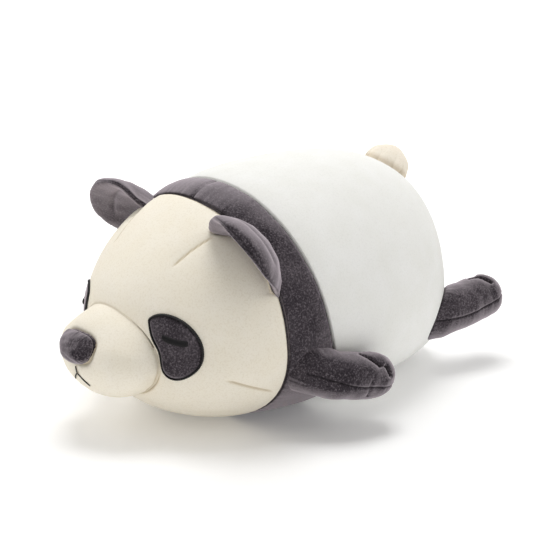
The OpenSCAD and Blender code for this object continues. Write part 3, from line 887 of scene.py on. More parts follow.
@dataclass(frozen=True)
class Muzzle:
    """The round muzzle with its nose pad and mouth."""

    width: float = 57.0
    height: float = 40.0
    out: float = 41.0
    centre_z: float = 73.0
    widest_y: float = -88.0
    power: float = 2.15
    nose_w: float = 23.1
    nose_h: float = 13.7
    nose_out: float = 9.8
    nose_z: float = 83.2
    stem: float = 7.0
    corner: tuple[float, float] = (12.0, -9.5)
    thread_r: float = 0.55

    def seam(self, a: np.ndarray) -> np.ndarray:
        """Points of the muzzle's seam on the face at the angles a."""
        rim = stack(self.width * np.cos(a), 0.0, self.centre_z + self.height * np.sin(a))
        y = LOAF.entry(rim, np.array([0.0, 1.0, 0.0]), LOAF.front_y, 0.0)
        return stack(rim[..., 0], y, rim[..., 2])

    def front(self, x: np.ndarray, z: np.ndarray, out: np.ndarray = 0.0) -> np.ndarray:
        """Points of the muzzle's fabric at x and z, raised by out."""
        q = np.minimum(1.0, np.hypot(x / self.width, (z - self.centre_z) / self.height))
        return stack(x, self.widest_y - self.out * cap(q, self.power) - out, z)

    def nose_at(self, a: np.ndarray, lean: np.ndarray) -> np.ndarray:
        """Points of the nose at the angle a round it and lean from its tip."""
        r = np.sin(np.minimum(lean, math.pi / 2)) ** 0.9
        tuck = 1 - 0.12 * np.maximum(0.0, lean - math.pi / 2)
        corner = 1 - 0.046 * np.cos(4 * a) * r
        x = self.nose_w * r * tuck * np.cos(a) * corner * (1 + 0.105 * np.sin(a))
        z = self.nose_z + self.nose_h * r * tuck * np.sin(a) * corner
        lift = self.nose_out * np.cos(lean) + 0.1
        return self.front(x, z, lift)

    def mouth_paths(self) -> list[np.ndarray]:
        """The mouth's stem and its two branches."""
        top = self.nose_z - self.nose_h - 3.0
        fork = top - self.stem
        runs = np.linspace(0.0, 1.0, 20)
        paths = [self.front(0 * runs, top + (fork - top) * runs)]
        for side in (-1.0, 1.0):
            x = side * self.corner[0] * runs
            paths.append(self.front(x, fork + self.corner[1] * runs**1.15))
        return paths

    def build(self) -> list[bpy.types.Object]:
        """Builds the muzzle, the nose and the mouth."""
        crown = 66

        def place(u: np.ndarray, v: np.ndarray) -> np.ndarray:
            """Points of the muzzle from its tucked edge to its tip."""
            k, inward = tuck(v, crown, HEM, 0, 2.5)
            a = u * TURN
            seam = self.seam(a)
            r = np.sin((math.pi / 2) * (1 - k))
            points = self.front(self.width * r * np.cos(a), self.centre_z + self.height * r * np.sin(a))
            high = np.clip((np.sin(a) - 0.1) / 0.8, 0.0, 1.0)
            fillet = 0.4 + 4.0 * high * high * (3 - 2 * high)
            rise = 1 - np.exp(-(1 - r) * self.height / fillet)
            points[:, 1] = seam[:, 1] + (points[:, 1] - seam[:, 1]) * rise + inward
            return points

        cover = lay_panel("muzzle_cover", 240, crown + HEM, place)
        nose_ring = self.nose_at(ROUND, np.full(len(ROUND), math.pi / 2)) + np.array([0.0, 0.8, 0.0])
        lip = np.array([[34, -80, 41], [48, -84.5, 50], [57, -84, 66]], dtype=float)
        reliefs = [
            Seam(self.seam(ROUND), **MUZZLE_SEAM, seed=3),
            Seam(self.seam(LOWER_RING), **MUZZLE_UNDER),
            Seam(nose_ring, 2.4, 2.2, 1.2, 7.0, 0.3, 6.0, 5.0, tone=0.8, seed=4),
            Unevenness(0.35, 60.0, 5),
        ]
        reliefs += [Seam(turn(lip), **LIP_FOLD) for _, turn in SIDES]
        reliefs += [Seam(path, **MOUTH_LINE, seed=6) for path in self.mouth_paths()]
        emboss(cover, reliefs)
        dress(cover, Finish.CREAM, ["muzzle_panel", "muzzle_filling"])
        return [cover, self.build_nose(), self.build_mouth()]

    def build_nose(self) -> bpy.types.Object:
        """Builds the padded nose with its gathered edge."""

        def place(u: np.ndarray, v: np.ndarray) -> np.ndarray:
            """Points of the nose from its tucked edge to its tip."""
            lean = math.radians(118) * (1 - v)
            return self.nose_at(u * TURN, lean)

        nose = lay_panel("nose_pad_cover", 160, 56, place)
        edge = self.nose_at(ROUND, np.full(len(ROUND), math.radians(100)))
        across = np.linspace(-1.0, 1.0, 30)
        folds = []
        for tilt, low, depth in ((0.25, 3.0, 0.5), (-0.3, -4.5, 0.42), (0.1, 7.5, 0.35)):
            x = 13.0 * across
            z = self.nose_z + low + 12.0 * tilt * across - 2.0 * across**2
            r = np.hypot(x / self.nose_w, (z - self.nose_z) / self.nose_h)
            path = self.front(x, z, self.nose_out * np.sqrt(np.maximum(0.0, 1 - r**2)))
            folds.append(Seam(path, depth, 1.6, 0.1, 5.0, 0.0, fade=8.0, tone=0.15))
        gather = Seam(edge, 0.6, 1.5, 0.4, 4.0, 0.5, 4.2, 4.5, tone=0.9, seed=8)
        emboss(nose, [gather, Unevenness(0.4, 14.0, 9)] + folds)
        dress(nose, Finish.CHARCOAL, ["nose_pad"])
        return nose

    def build_mouth(self) -> bpy.types.Object:
        """Sews the mouth's three strands, sunk into the fabric by their radius."""
        sunk = [path + np.array([0.0, self.thread_r, 0.0]) for path in self.mouth_paths()]
        mouth = sew_threads("mouth_thread", sunk, self.thread_r)
        dress(mouth, Finish.BLACK_THREAD, ["mouth_stitches"])
        return mouth


@dataclass(frozen=True)
class Eye:
    """A closed eye: a velour patch with a satin-stitched edge and a stitched bar."""

    y: float = -70.0
    phi: float = 7.6
    length: float = 55.0
    outer_w: float = 21.6
    inner_w: float = 18.2
    lean: float = 45.0
    lift: float = 0.2
    pile: float = 1.5
    border: float = 2.6

    def axes(self) -> tuple[np.ndarray, np.ndarray, np.ndarray, np.ndarray]:
        """The eye's middle on the face and its outward, upward and normal directions."""

        def at(y: float, phi: float) -> np.ndarray:
            """One point of the face."""
            return LOAF.skin(np.array(y), np.radians(phi))

        back = at(self.y + 1, self.phi) - at(self.y - 1, self.phi)
        normal = unit(np.cross(back, at(self.y, 9.0) - at(self.y, 6.0)))
        up = unit(UP - normal * normal[2])
        return at(self.y, self.phi), np.cross(up, normal), up, normal

    def on_face(self, out: np.ndarray, up: np.ndarray, lift: np.ndarray) -> np.ndarray:
        """Points of the face, out and up from the eye's middle, raised by lift."""
        centre, out_way, up_way, normal = self.axes()
        points = centre + out[..., None] * out_way + up[..., None] * up_way
        sink = LOAF.entry(points, -normal, -20.0, 25.0)
        return points + normal * (np.asarray(lift) - sink)[..., None]

    def patch_at(self, a: np.ndarray, r: np.ndarray, more: np.ndarray, lift: np.ndarray) -> np.ndarray:
        """Points of the patch.

        Args:
            a: angles round it.
            r: distances from its middle, 1 at its edge.
            more: how far beyond its edge, in millimetres.
            lift: heights over the face.

        Returns:
            The points.
        """
        v = np.sin(a)
        outer = np.cos(a) > 0
        half = np.where(outer, self.outer_w * (1 - 0.09 * v), self.inner_w * (1 - 0.78 * v))
        pinch = np.where(outer, 0.0, 5.6 * np.exp(-(((v - 0.107) / 0.387) ** 2)))
        w = (half - pinch + more) * np.cos(a)
        tall = (self.length / 2 + more) * v + 4.4
        lean = math.radians(self.lean)
        out = -5.3 + r * (w * math.cos(lean) - tall * math.sin(lean))
        up = -3.4 + r * (w * math.sin(lean) + tall * math.cos(lean))
        return self.on_face(out, up, lift)

    def build(self) -> list[bpy.types.Object]:
        """Builds the left eye and its mirrored twin."""
        pieces = []
        for make, node, finish in (
            (self.build_patch, "eye_patch", Finish.CHARCOAL),
            (self.build_border, "eye_border", Finish.BLACK_THREAD),
            (self.build_bar, "eye_stitches", Finish.BLACK_THREAD),
        ):
            left = make()
            right = mirror_copy(left, left.name.replace("left", "right"))
            for piece, (side, _) in zip((left, right), SIDES):
                dress(piece, finish, [f"{node}_{side}"])
                pieces.append(piece)
        return pieces

    def build_patch(self) -> bpy.types.Object:
        """Lays the velour patch on the face."""

        def place(u: np.ndarray, v: np.ndarray) -> np.ndarray:
            """Points of the patch from its edge to its middle."""
            r = np.minimum(1.0, 1.03 - 1.03 * v)
            crown = self.pile * cap(r, 6.0) + 0.5 * (1 - r * r)
            return self.patch_at(u * TURN, r, 0.0 * u + 1.1, self.lift + crown - 0.6 * (v < 0.02))

        patch = lay_panel("eye_patch_cover_left", 160, 40, place)
        one = np.ones(len(ROUND))
        edge = self.patch_at(ROUND, 0.98 * one, one, 1.4 * one)
        hem = Seam(edge, 0.5, 0.9, 0.0, 5.0, 0.1, 4.0, 4.0, tone=0.6, seed=11)
        emboss(patch, [hem, Unevenness(0.15, 16.0, 12)])
        return patch

    def build_border(self) -> bpy.types.Object:
        """Sews the satin stitches round the patch, each one a fine ridge."""
        stitches = 300

        def place(u: np.ndarray, v: np.ndarray) -> np.ndarray:
            """Points across the border at v, round it at u."""
            arch = np.sin(v * math.pi)
            more = 0.6 + (self.border - 0.6) * v
            ridge = 1 + 0.1 * np.sin(u * TURN * stitches / 2)
            lift = 0.1 + (1.9 * arch**0.6) * ridge
            ragged = 0.12 * np.sin(u * TURN * 83) * (v - 0.5)
            return self.patch_at(u * TURN, np.ones_like(u), more + ragged, lift)

        return lay_panel("eye_edging_left", stitches * 4, 12, place)

    def build_bar(self) -> bpy.types.Object:
        """Sews the closed eye, a thick satin bar that sags between its ends."""
        stitches = 56

        def place(u: np.ndarray, v: np.ndarray) -> np.ndarray:
            """Points across the bar at v, along it at u."""
            half = 2.8 * cap(2 * u - 1, 6.0)
            arch = np.sin(v * math.pi)
            ridge = 1 + 0.12 * np.sin(u * TURN * stitches / 2)
            up = 7.3 - 4 * u - 5.7 * u * (1 - u) + half * np.cos(v * math.pi)
            lift = self.pile + 0.3 + 1.7 * arch**0.7 * ridge * np.minimum(1.0, half / 2.0)
            return self.on_face(-16.3 + 22.9 * u, up, lift)

        return lay_panel("eye_lid_left", stitches * 4, 14, place)


@dataclass(frozen=True)
class Face:
    """The cream cover of the head, from the muzzle's seam to the seam behind the head."""

    muzzle: Muzzle
    columns: int = 420
    rows: int = 112
    ease: float = 1.7

    def build(self, ear_foot: np.ndarray) -> bpy.types.Object:
        """Builds the face.

        Args:
            ear_foot: the line on the head along which the left ear is sewn in.

        Returns:
            The cover.
        """

        def place(u: np.ndarray, v: np.ndarray) -> np.ndarray:
            """Points of the face from its edge at the muzzle to its edge at the neck."""
            k, inward = tuck(v, self.rows, HEM, HEM, 2.0)
            a = u * TURN
            start = self.muzzle.seam(a)
            first = LOAF.phi_of(start)
            lag = first - a
            lag = lag - TURN * np.floor(lag / TURN + 0.5)
            last = LOAF.seam_y(NECK, a)
            y = start[:, 1] + (last - start[:, 1]) * k**self.ease
            return LOAF.skin(y, a + lag * (1 - k), inward)

        cover = lay_panel("face_cover", self.columns, self.rows + 2 * HEM, place)
        crown = on_skin([(56, -19, 177), (51, -42, 166), (44.5, -62, 149)])
        cheek = on_skin([(96.5, -44, 62.5), (101, -18, 52), (103, 7.5, 42)])
        reliefs: list = [
            Seam(ring_path(NECK), 1.2, 1.6, 0.9, 9.0, 0.2, 9.0, 8.0, tone=0.9, seed=21),
            Seam(self.muzzle.seam(ROUND), **MUZZLE_SEAM, seed=22),
            Seam(self.muzzle.seam(LOWER_RING), **MUZZLE_UNDER),
            Unevenness(0.5, 90.0, 23),
        ]
        for _, turn in SIDES:
            reliefs += [
                Seam(turn(crown), **DART, seed=24),
                Seam(turn(cheek), **DART, seed=25),
                Seam(turn(ear_foot), 2.4, 3.0, 2.2, 11.0, 0.5, 8.0, 8.0, fade=5.0, tone=0.5, seed=26),
            ]
        emboss(cover, reliefs)
        dress(cover, Finish.CREAM, ["face_panel", "head_filling"])
        return cover


@dataclass(frozen=True)
class Ear:
    """A cupped ear of two velour panels with thin wadding between them."""

    inner: Triple = (63.0, -19.5, 186.0)
    outer: Triple = (113.0, -3.0, 141.5)
    rise: Triple = (0.73, -0.53, 0.4)
    height: float = 43.0
    width: float = 41.5
    thick: float = 8.0
    cup: float = 13.0
    root: float = 24.0
    bend: float = 12.0

    def axes(self) -> tuple[np.ndarray, np.ndarray, np.ndarray, np.ndarray]:
        """The middle of the ear's base, and its directions across, out of the hollow and up."""
        inner, outer = np.array(self.inner), np.array(self.outer)
        across = unit(outer - inner)
        rise = np.array(self.rise)
        up = unit(rise - across * (rise @ across))
        return (inner + outer) / 2, across, np.cross(across, up), up

    def at(self, s: np.ndarray, h: np.ndarray, n: np.ndarray) -> np.ndarray:
        """Points of the ear.

        Args:
            s: places across it, from -1 at its inner edge to 1.
            h: heights up it.
            n: heights over its middle sheet, towards the hollow.

        Returns:
            The points.
        """
        mid, across, hollow, up = self.axes()
        w = self.width * s * cap(np.maximum(h, 0.0) / (self.height + 0.01), 2.4)
        bowl = self.cup * (1 - (w / self.width) ** 2 - (h / self.height) ** 2)
        curl = 8.0 * np.exp(-(((w + 38.0) / 10.0) ** 2)) * np.exp(-(((h + 4.0) / 18.0) ** 2))
        return mid + w[..., None] * across + h[..., None] * up + (n - bowl + curl)[..., None] * hollow

    def foot(self) -> np.ndarray:
        """The line on the head along which the ear is sewn in."""
        s = np.linspace(-1.0, 1.0, 60)
        base = self.at(s, 0 * s, 0 * s)
        up = self.axes()[3]
        return base - LOAF.entry(base, -up, -35.0, 25.0)[:, None] * up

    def build(self) -> list[bpy.types.Object]:
        """Builds the left ear and its mirrored twin."""
        rows = 90

        def place(u: np.ndarray, v: np.ndarray) -> np.ndarray:
            """Points round the ear's section at u, from its root to its tip at v."""
            a = u * TURN
            h = -self.root + (self.height + self.root) * np.sin(v * math.pi / 2)
            h = np.minimum(h, self.height)
            k = np.clip(h / self.height, 0.0, 1.0)
            s = powered(np.cos(a), 2.6)
            half = (1.4 + (self.thick - 1.4) * cap(k, 3.0)) * powered(np.sin(a), 1.9)
            half = half * np.where(v > 0.995, 0.0, 1.0)
            return self.at(s, h, half)

        ear = lay_panel("ear_cover_left", 150, rows, place)
        h = np.linspace(-10.0, self.height, 80)
        rim_in = self.at(np.full(80, -1.0), h, np.zeros(80))
        rim_out = self.at(np.full(80, 1.0), h, np.zeros(80))[::-1]
        rim = np.concatenate([rim_in, rim_out])
        across = np.linspace(-1.0, 1.0, 40)
        fold = self.at(0.72 * across - 0.1, 21.0 - 7.0 * across**2, np.full(40, self.thick * 0.9))
        back_fold = self.at(0.8 * across, 25.0 - 9.0 * across**2, np.full(40, -self.thick * 0.9))
        emboss(
            ear,
            [
                Seam(rim, 0.7, 1.1, 0.0, 5.0, 0.14, 6.5, 5.0, tone=0.5, seed=31),
                Seam(fold, 1.3, 2.4, 0.3, 8.0, 0.15, 9.0, 6.0, fade=14.0, tone=0.3, seed=32),
                Seam(back_fold, 1.0, 3.0, 0.5, 9.0, 0.12, 9.0, 7.0, fade=14.0, tone=0.15, seed=33),
                Seam(self.foot(), 0.8, 3.0, 0.2, 8.0, 0.25, 8.0, 8.0, fade=3.0, tone=0.5, seed=34),
                Unevenness(0.3, 20.0, 35),
            ],
        )
        twin = mirror_copy(ear, "ear_cover_right")
        mid, _, _, up = self.axes()
        for piece, (side, turn) in zip((ear, twin), SIDES):
            nodes = [f"ear_{part}_{side}" for part in ("front", "back", "wadding")]
            dress(piece, Finish.CHARCOAL, nodes)
            start, end = (spot(turn(mid + way * self.bend * up)) for way in (-1.0, 1.0))
            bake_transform(piece)
        return [ear, twin]


@dataclass(frozen=True)
class Head:
    """The head: face, muzzle, nose, mouth, eyes and ears."""

    muzzle: Muzzle = Muzzle()
    eye: Eye = Eye()
    ear: Ear = Ear()

    def build(self) -> None:
        """Builds the head's pieces and puts all but the ears on its body."""
        rigid = [Face(self.muzzle).build(self.ear.foot())]
        rigid += self.muzzle.build()
        rigid += self.eye.build()
        for piece in rigid:
            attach(piece, "head")
        self.ear.build()


# ---- Trunk --------------------------------------------------------------------------------------


@dataclass(frozen=True)
class NeckBand:
    """The charcoal band round the neck."""

    columns: int = 420
    rows: int = 40
    swell: float = 1.5

    def build(self) -> bpy.types.Object:
        """Builds the band between head and torso."""

        def place(u: np.ndarray, v: np.ndarray) -> np.ndarray:
            """Points of the band from its front edge to its rear edge."""
            k, inward = tuck(v, self.rows, HEM, HEM, 2.5)
            a = u * TURN
            first, last = LOAF.seam_y(NECK, a), LOAF.seam_y(SHOULDER, a)
            swell = self.swell * np.sin(k * math.pi) * np.maximum(0.0, np.sin(a))
            return LOAF.skin(first + (last - first) * k, a, inward - swell)

        band = lay_panel("neck_band_cover", self.columns, self.rows + 2 * HEM, place)
        back = LOAF.skin(np.linspace(-8.0, 24.0, 40), np.full(40, math.pi / 2))
        under = LOAF.skin(np.linspace(0.0, 80.0, 60), np.full(60, -math.pi / 2))
        emboss(
            band,
            [
                Seam(ring_path(NECK), 1.2, 1.6, 0.8, 8.0, 0.3, 8.0, 8.0, tone=0.9, seed=41),
                Seam(ring_path(SHOULDER), 1.1, 1.6, 0.7, 8.0, 0.3, 8.0, 8.0, tone=0.9, seed=42),
                Seam(back, 1.2, 1.3, 0.6, 6.0, 0.15, 6.0, 5.0, tone=1.0, seed=43),
                Seam(under, 0.8, 1.2, 0.0, 6.0, 0.0, tone=0.7, seed=44),
                Unevenness(0.45, 60.0, 45),
            ],
        )
        dress(band, Finish.CHARCOAL, ["neck_band_left", "neck_band_right", "neck_filling"])
        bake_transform(band)
        return band


@dataclass(frozen=True)
class Trunk:
    """The white back and belly, with the closing stitches and the care label."""

    columns: int = 380
    rows: int = 150
    flat_end: float = 222.0
    tail_y: float = 220.0

    def flank(self) -> np.ndarray:
        """The seam between back and belly on the left side."""
        y = np.linspace(70.0, self.flat_end + 20.0, 90)
        return LOAF.skin(y, LOAF.foot_phi(y) + 0.02)

    def build(self) -> None:
        """Builds the back, the belly and the label."""
        back, belly = self.build_back(), self.build_belly()
        for piece in (back, belly, self.build_label()):
            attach(piece, "torso")
        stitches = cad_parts["closing_stitches"]
        stitches.data.materials.clear()
        stitches.data.materials.append(Finish.WHITE_THREAD.material())

    def build_back(self) -> bpy.types.Object:
        """Builds the back, closed round the rump."""

        def place(u: np.ndarray, v: np.ndarray) -> np.ndarray:
            """Points of the back from the shoulder seam to the end of the rump."""
            k, inward = tuck(v, self.rows, HEM, 0, 2.5)
            ease = np.sin(k * math.pi / 2)
            start = LOAF.seam_y(SHOULDER, np.array(-math.pi / 2))
            y = start + (LOAF.rear_y - start) * ease
            low = np.maximum(LOAF.foot_phi(y), -math.pi / 2)
            a = low + (math.pi - 2 * low) * u
            first = LOAF.seam_y(SHOULDER, a)
            edge = 1.5 * np.exp(-np.minimum(u, 1 - u) * 900.0) * (y < self.flat_end)
            points = LOAF.skin(y + (first - start) * (1 - ease), a, inward + edge)
            points[:, 0] *= k < 1.0
            return points

        back = lay_panel("back_cover", self.columns, self.rows + HEM, place)
        base = LOAF.skin(np.array(self.tail_y), np.array(math.pi / 2))
        emboss(
            back,
            [
                Seam(ring_path(SHOULDER), 1.0, 1.5, 1.2, 10.0, 0.2, 10.0, 9.0, tone=0.7, seed=51),
                Seam(self.flank(), **FLANK_SEAM, seed=52),
                Seam(mirrored(self.flank()), **FLANK_SEAM, seed=53),
                # A hollow round the tail's base, with a touch of painted shade.
                Dimple(tuple(base), -2.0, 26.0, 0.1),
                Unevenness(0.5, 110.0, 54),
            ],
        )
        dress(back, Finish.WHITE, ["back_panel", "torso_filling"])
        return back

    def build_belly(self) -> bpy.types.Object:
        """Builds the belly that the panda lies on."""

        def place(u: np.ndarray, v: np.ndarray) -> np.ndarray:
            """Points of the belly across at u, from the shoulder seam backwards at v."""
            start = LOAF.seam_y(SHOULDER, np.array(-math.pi / 2))
            y = start - 3.0 + (self.flat_end + 6.0 - start) * v
            low = np.maximum(LOAF.foot_phi(np.minimum(y, self.flat_end + 2.0)), -math.pi / 2)
            half = np.abs(LOAF.skin(y, low)[:, 0]) - 0.3
            edge = np.minimum(u, 1 - u)
            lift = 0.05 + 1.2 * np.exp(-edge * 60.0) + 1.2 * np.exp(-v * 60.0)
            return stack((2 * u - 1) * half, y, lift)

        belly = lay_panel("belly_cover", 120, 100, place)
        # The flank seam on the belly has no groove here, only a line of painted shade.
        emboss(belly, [Seam(self.flank(), 0.0, 1.5, 0.0, tone=0.5), Unevenness(0.02, 40.0, 55)])
        dress(belly, Finish.WHITE, ["belly_panel"])
        return belly

    def build_label(self) -> bpy.types.Object:
        """Folds a blank care label in the right-hand flank seam."""
        low, high = (np.array(corner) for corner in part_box("care_label"))
        low, high = from_scene(low), from_scene(high)

        def place(u: np.ndarray, v: np.ndarray) -> np.ndarray:
            """Points of the folded tape, across at u and round its fold at v."""
            y = low[1] + (high[1] - low[1]) * u
            half = np.clip(np.abs(2 * v - 1), 0.0, 1.0)
            reach = 1 - half
            gap = 0.8 * np.sin(np.minimum(1.0, reach * 1.02) * math.pi) * np.where(v < 0.5, -1.0, 1.0)
            x = high[0] + (low[0] + 1.0 - high[0]) * reach
            z = high[2] - 1.2 + (low[2] + 1.6 - high[2]) * reach + gap + 0.5 * reach * np.sin(u * 3.0)
            return stack(x, y, np.maximum(z, 0.4))

        label = lay_panel("care_tape", 24, 40, place)
        only(label)
        wall = label.modifiers.new("tape", "SOLIDIFY")
        wall.thickness = 0.3 * MM
        bpy.ops.object.modifier_apply(modifier=wall.name)
        dress(label, Finish.TAPE, ["care_label"])
        return label


# ---- Limbs and tail -----------------------------------------------------------------------------


@dataclass(frozen=True)
class Limb:
    """A stuffed arm or leg, bent along a curve, with drawn-in toes."""

    name: str
    line: tuple[Triple, ...]
    root_r: float
    end_r: float
    flare: float
    toes: tuple[tuple[tuple[float, float], ...], ...]
    seams: tuple[tuple[tuple[float, float], ...], ...]
    root_depth_and_shade: float
    pieces: tuple[str, ...]
    bend_from: Triple
    bend_to: Triple
    seed: int
    thread_r: float = 0.55
    thread_depth: float = 4.2
    rows_along: int = 90
    rows_tip: int = 40
    knitting: int = 48

    def centre(self, s: np.ndarray) -> tuple[np.ndarray, np.ndarray]:
        """Points and headings of the limb's middle line."""
        a, b, c = (np.array(p) for p in self.line)
        s = s[..., None]
        at = (1 - s) ** 2 * a + 2 * s * (1 - s) * b + s * s * c
        return at, unit((1 - s) * (b - a) + s * (c - b))

    def at(self, s: np.ndarray, a: np.ndarray, more: np.ndarray = 0.0) -> np.ndarray:
        """Points of the limb.

        Args:
            s: places along it, from 0 in the body past 1 at its end to 2 at its tip.
            a: angles round it.
            more: heights over its surface.

        Returns:
            The points.
        """
        q = np.minimum(s, 1.0)
        mid, ahead = self.centre(q)
        side = unit(np.cross(ahead, UP))
        over = np.cross(side, ahead)
        r = (self.root_r + (self.end_r - self.root_r) * q + more)[..., None]
        tip = (np.maximum(0.0, s - 1) * math.pi / 2)[..., None]
        spread = np.cos(a)[..., None] * side + np.sin(a)[..., None] * over
        return mid + r * np.sin(tip) * ahead + r * np.cos(tip) * spread

    def drawn(self, knots: Sequence[Sequence[float]], more: float = 0.0) -> np.ndarray:
        """A smooth line on the limb.

        Args:
            knots: its corners, each a place along the limb and an angle round it in degrees.
            more: its height over the surface.

        Returns:
            Points of the line.
        """
        ticks = np.linspace(0.0, len(knots) - 1.0, self.knitting)
        marks = np.arange(len(knots))
        s, angle = (np.interp(ticks, marks, np.array(knots)[:, column]) for column in (0, 1))
        kernel = np.ones(9) / 9
        padded = (np.pad(line, 4, mode="edge") for line in (s, angle))
        s, angle = (np.convolve(line, kernel, mode="valid") for line in padded)
        return self.at(s, np.radians(angle), np.full(self.knitting, more))

    def build(self) -> None:
        """Builds the left limb and its mirrored twin, with the thread in their toes."""
        rows = self.rows_along + self.rows_tip
        share = self.rows_along / rows

        def place(u: np.ndarray, v: np.ndarray) -> np.ndarray:
            """Points of the limb round it at u, from its root to its tip at v."""
            s = np.where(v < share, v / share, 1 + (v - share) / (1 - share))
            a = u * TURN
            points = self.at(s, a)
            outside = np.maximum(0.0, -LOAF.depth(points))
            swell = self.flare * np.exp(-outside / 7.0) * (s < 1)
            return self.at(s, a, swell)

        cover = lay_panel(f"{self.name}_cover_left", 190, rows, place)
        reliefs: list = [Unevenness(0.3, 22.0, self.seed), Unevenness(0.12, 9.0, self.seed + 1)]
        reliefs += [
            Seam(self.drawn(knots), **LIMB_SEAM, seed=self.seed + 2 + number)
            for number, knots in enumerate(self.seams)
        ]
        reliefs += [Seam(self.drawn(knots), **TOE_SLIT, seed=self.seed + 5) for knots in self.toes]
        # Where the limb leaves the body, one number sets both the groove's depth and its painted shade.
        tone = self.root_depth_and_shade
        reliefs.append(Seam(self.root_line(), tone, **LIMB_ROOT, tone=tone, seed=self.seed + 7))
        emboss(cover, reliefs)
        twin = mirror_copy(cover, f"{self.name}_cover_right")
        thread = self.sew_toes()
        for piece, (side, turn) in zip((cover, twin), SIDES):
            dress(piece, Finish.CHARCOAL, [f"{part}_{side}" for part in self.pieces])
            start, end = (spot(turn(np.array(p))) for p in (self.bend_from, self.bend_to))
            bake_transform(piece)
        other_thread = mirror_copy(thread, f"{self.name}_toe_thread_right")
        for piece, (side, _) in zip((thread, other_thread), SIDES):
            dress(piece, Finish.BLACK_THREAD, [f"{self.name}_toe_stitches_{side}"])
            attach(piece, f"{self.name}_{side}")

    def root_line(self) -> np.ndarray:
        """The line round the limb at which it comes out of the body."""
        ring = np.linspace(0.0, TURN, 120)
        near, far = np.full(120, 0.0), np.full(120, 0.95)
        for _ in range(14):
            middle = (near + far) / 2
            within = LOAF.depth(self.at(middle, ring)) > 0
            near, far = np.where(within, middle, near), np.where(within, far, middle)
        return self.at(near, ring)

    def sew_toes(self) -> bpy.types.Object:
        """Lays a thread at the bottom of each drawn-in line."""
        paths = [self.drawn(knots, -self.thread_depth)[4:-4] for knots in self.toes]
        return sew_threads(f"{self.name}_toe_thread_left", paths, self.thread_r, 8)


@dataclass(frozen=True)
class Tail:
    """A round gathered puff on the rump."""

    y: float = 220.0
    radius: float = 22.0
    sunk: float = 9.0

    def build(self) -> bpy.types.Object:
        """Builds the tail with the pleats at its base."""
        foot = LOAF.skin(np.array(self.y), np.array(math.pi / 2))
        ahead = LOAF.skin(np.array([self.y - 2.0, self.y + 2.0]), np.full(2, math.pi / 2))
        slope = unit(ahead[1] - ahead[0])
        out = np.array([0.0, -slope[2], slope[1]])
        side = np.array([1.0, 0.0, 0.0])

        def place(u: np.ndarray, v: np.ndarray) -> np.ndarray:
            """Points of the tail round it at u, from its sunk base to its top at v."""
            lean = math.radians(128) * (1 - v)
            a = u * TURN
            low = np.clip((lean - math.radians(38)) / math.radians(60), 0.0, 1.0)
            pleat = np.abs(np.sin(a * 5.5 + 0.7 * np.sin(a * 3))) ** 0.6 - 0.5
            r = self.radius * (1 - 0.1 * np.maximum(0.0, lean - math.pi / 2)) - 0.2 + 2.2 * pleat * low**1.2
            r = r + 0.4 * np.sin(3 * a + 1) * low
            flat = (r * np.sin(lean))[:, None] * (np.cos(a)[:, None] * side + np.sin(a)[:, None] * slope)
            return foot + flat + (r * np.cos(lean) - 0.3)[:, None] * out

        tail = lay_panel("tail_puff", 260, 90, place)
        emboss(tail, [Unevenness(0.5, 16.0, 61)])
        mesh = tail.data
        points = from_scene(read_points(mesh))
        # Painted shade round the tail's base, darkest where it meets the rump.
        low = 1 - np.clip(((points - foot) @ out) / 9.0, 0.0, 1.0)
        paint(mesh, "crease", 0.55 * low**2)
        dress(tail, Finish.TAIL, ["tail_cover", "tail_filling"])
        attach(tail, "tail")
        return tail


ARM = Limb(
    name="arm",
    line=((90.0, 33.0, 63.0), (135.0, 34.0, 55.0), (134.0, 90.0, 47.5)),
    root_r=21.0,
    end_r=20.0,
    flare=2.0,
    toes=(
        ((0.83, 103.0), (0.878, 82.0), (0.908, 67.0), (0.94, 52.6), (0.985, 36.0)),
        ((1.02, 50.0), (1.083, 33.0), (1.126, 20.0), (1.18, 4.0)),
    ),
    seams=(
        ((0.287, 12.5), (0.478, 7.8), (0.707, -7.6), (0.85, -15.0), (1.3, -20.0), (1.95, -25.0)),
        ((0.25, 168.0), (1.0, 168.0), (1.95, 168.0)),
        ((0.879, 12.7), (0.858, -4.3), (0.861, -24.7), (0.87, -50.0)),
    ),
    root_depth_and_shade=0.05,
    pieces=("arm_top", "arm_under", "arm_filling"),
    bend_from=(106.0, 22.0, 60.0),
    bend_to=(129.0, 51.0, 58.0),
    seed=70,
)
LEG = Limb(
    name="leg",
    line=((54.0, 208.0, 53.0), (68.0, 243.0, 57.0), (67.0, 288.0, 64.5)),
    root_r=24.0,
    end_r=21.0,
    flare=-0.5,
    toes=(
        ((0.86, 112.0), (0.985, 94.0), (1.029, 75.0), (1.115, 59.7), (1.2, 45.0)),
        ((0.98, 150.0), (1.06, 130.0), (1.2, 115.0)),
    ),
    seams=(
        ((0.161, 5.7), (0.379, -0.2), (0.611, -7.7), (0.83, -2.9), (1.166, 1.8), (1.95, 5.0)),
        ((0.25, 172.0), (1.0, 172.0), (1.95, 172.0)),
    ),
    root_depth_and_shade=0.8,
    pieces=("leg_top", "leg_sole", "leg_filling"),
    bend_from=(58.0, 214.0, 56.0),
    bend_to=(66.0, 246.0, 59.0),
    seed=80,
)


# ---- Studio -------------------------------------------------------------------------------------


@dataclass(frozen=True)
class Lamp:
    """One soft square lamp: its name, its place and width in metres, and its power in watts."""

    name: str
    place: Triple
    size: float
    power: float


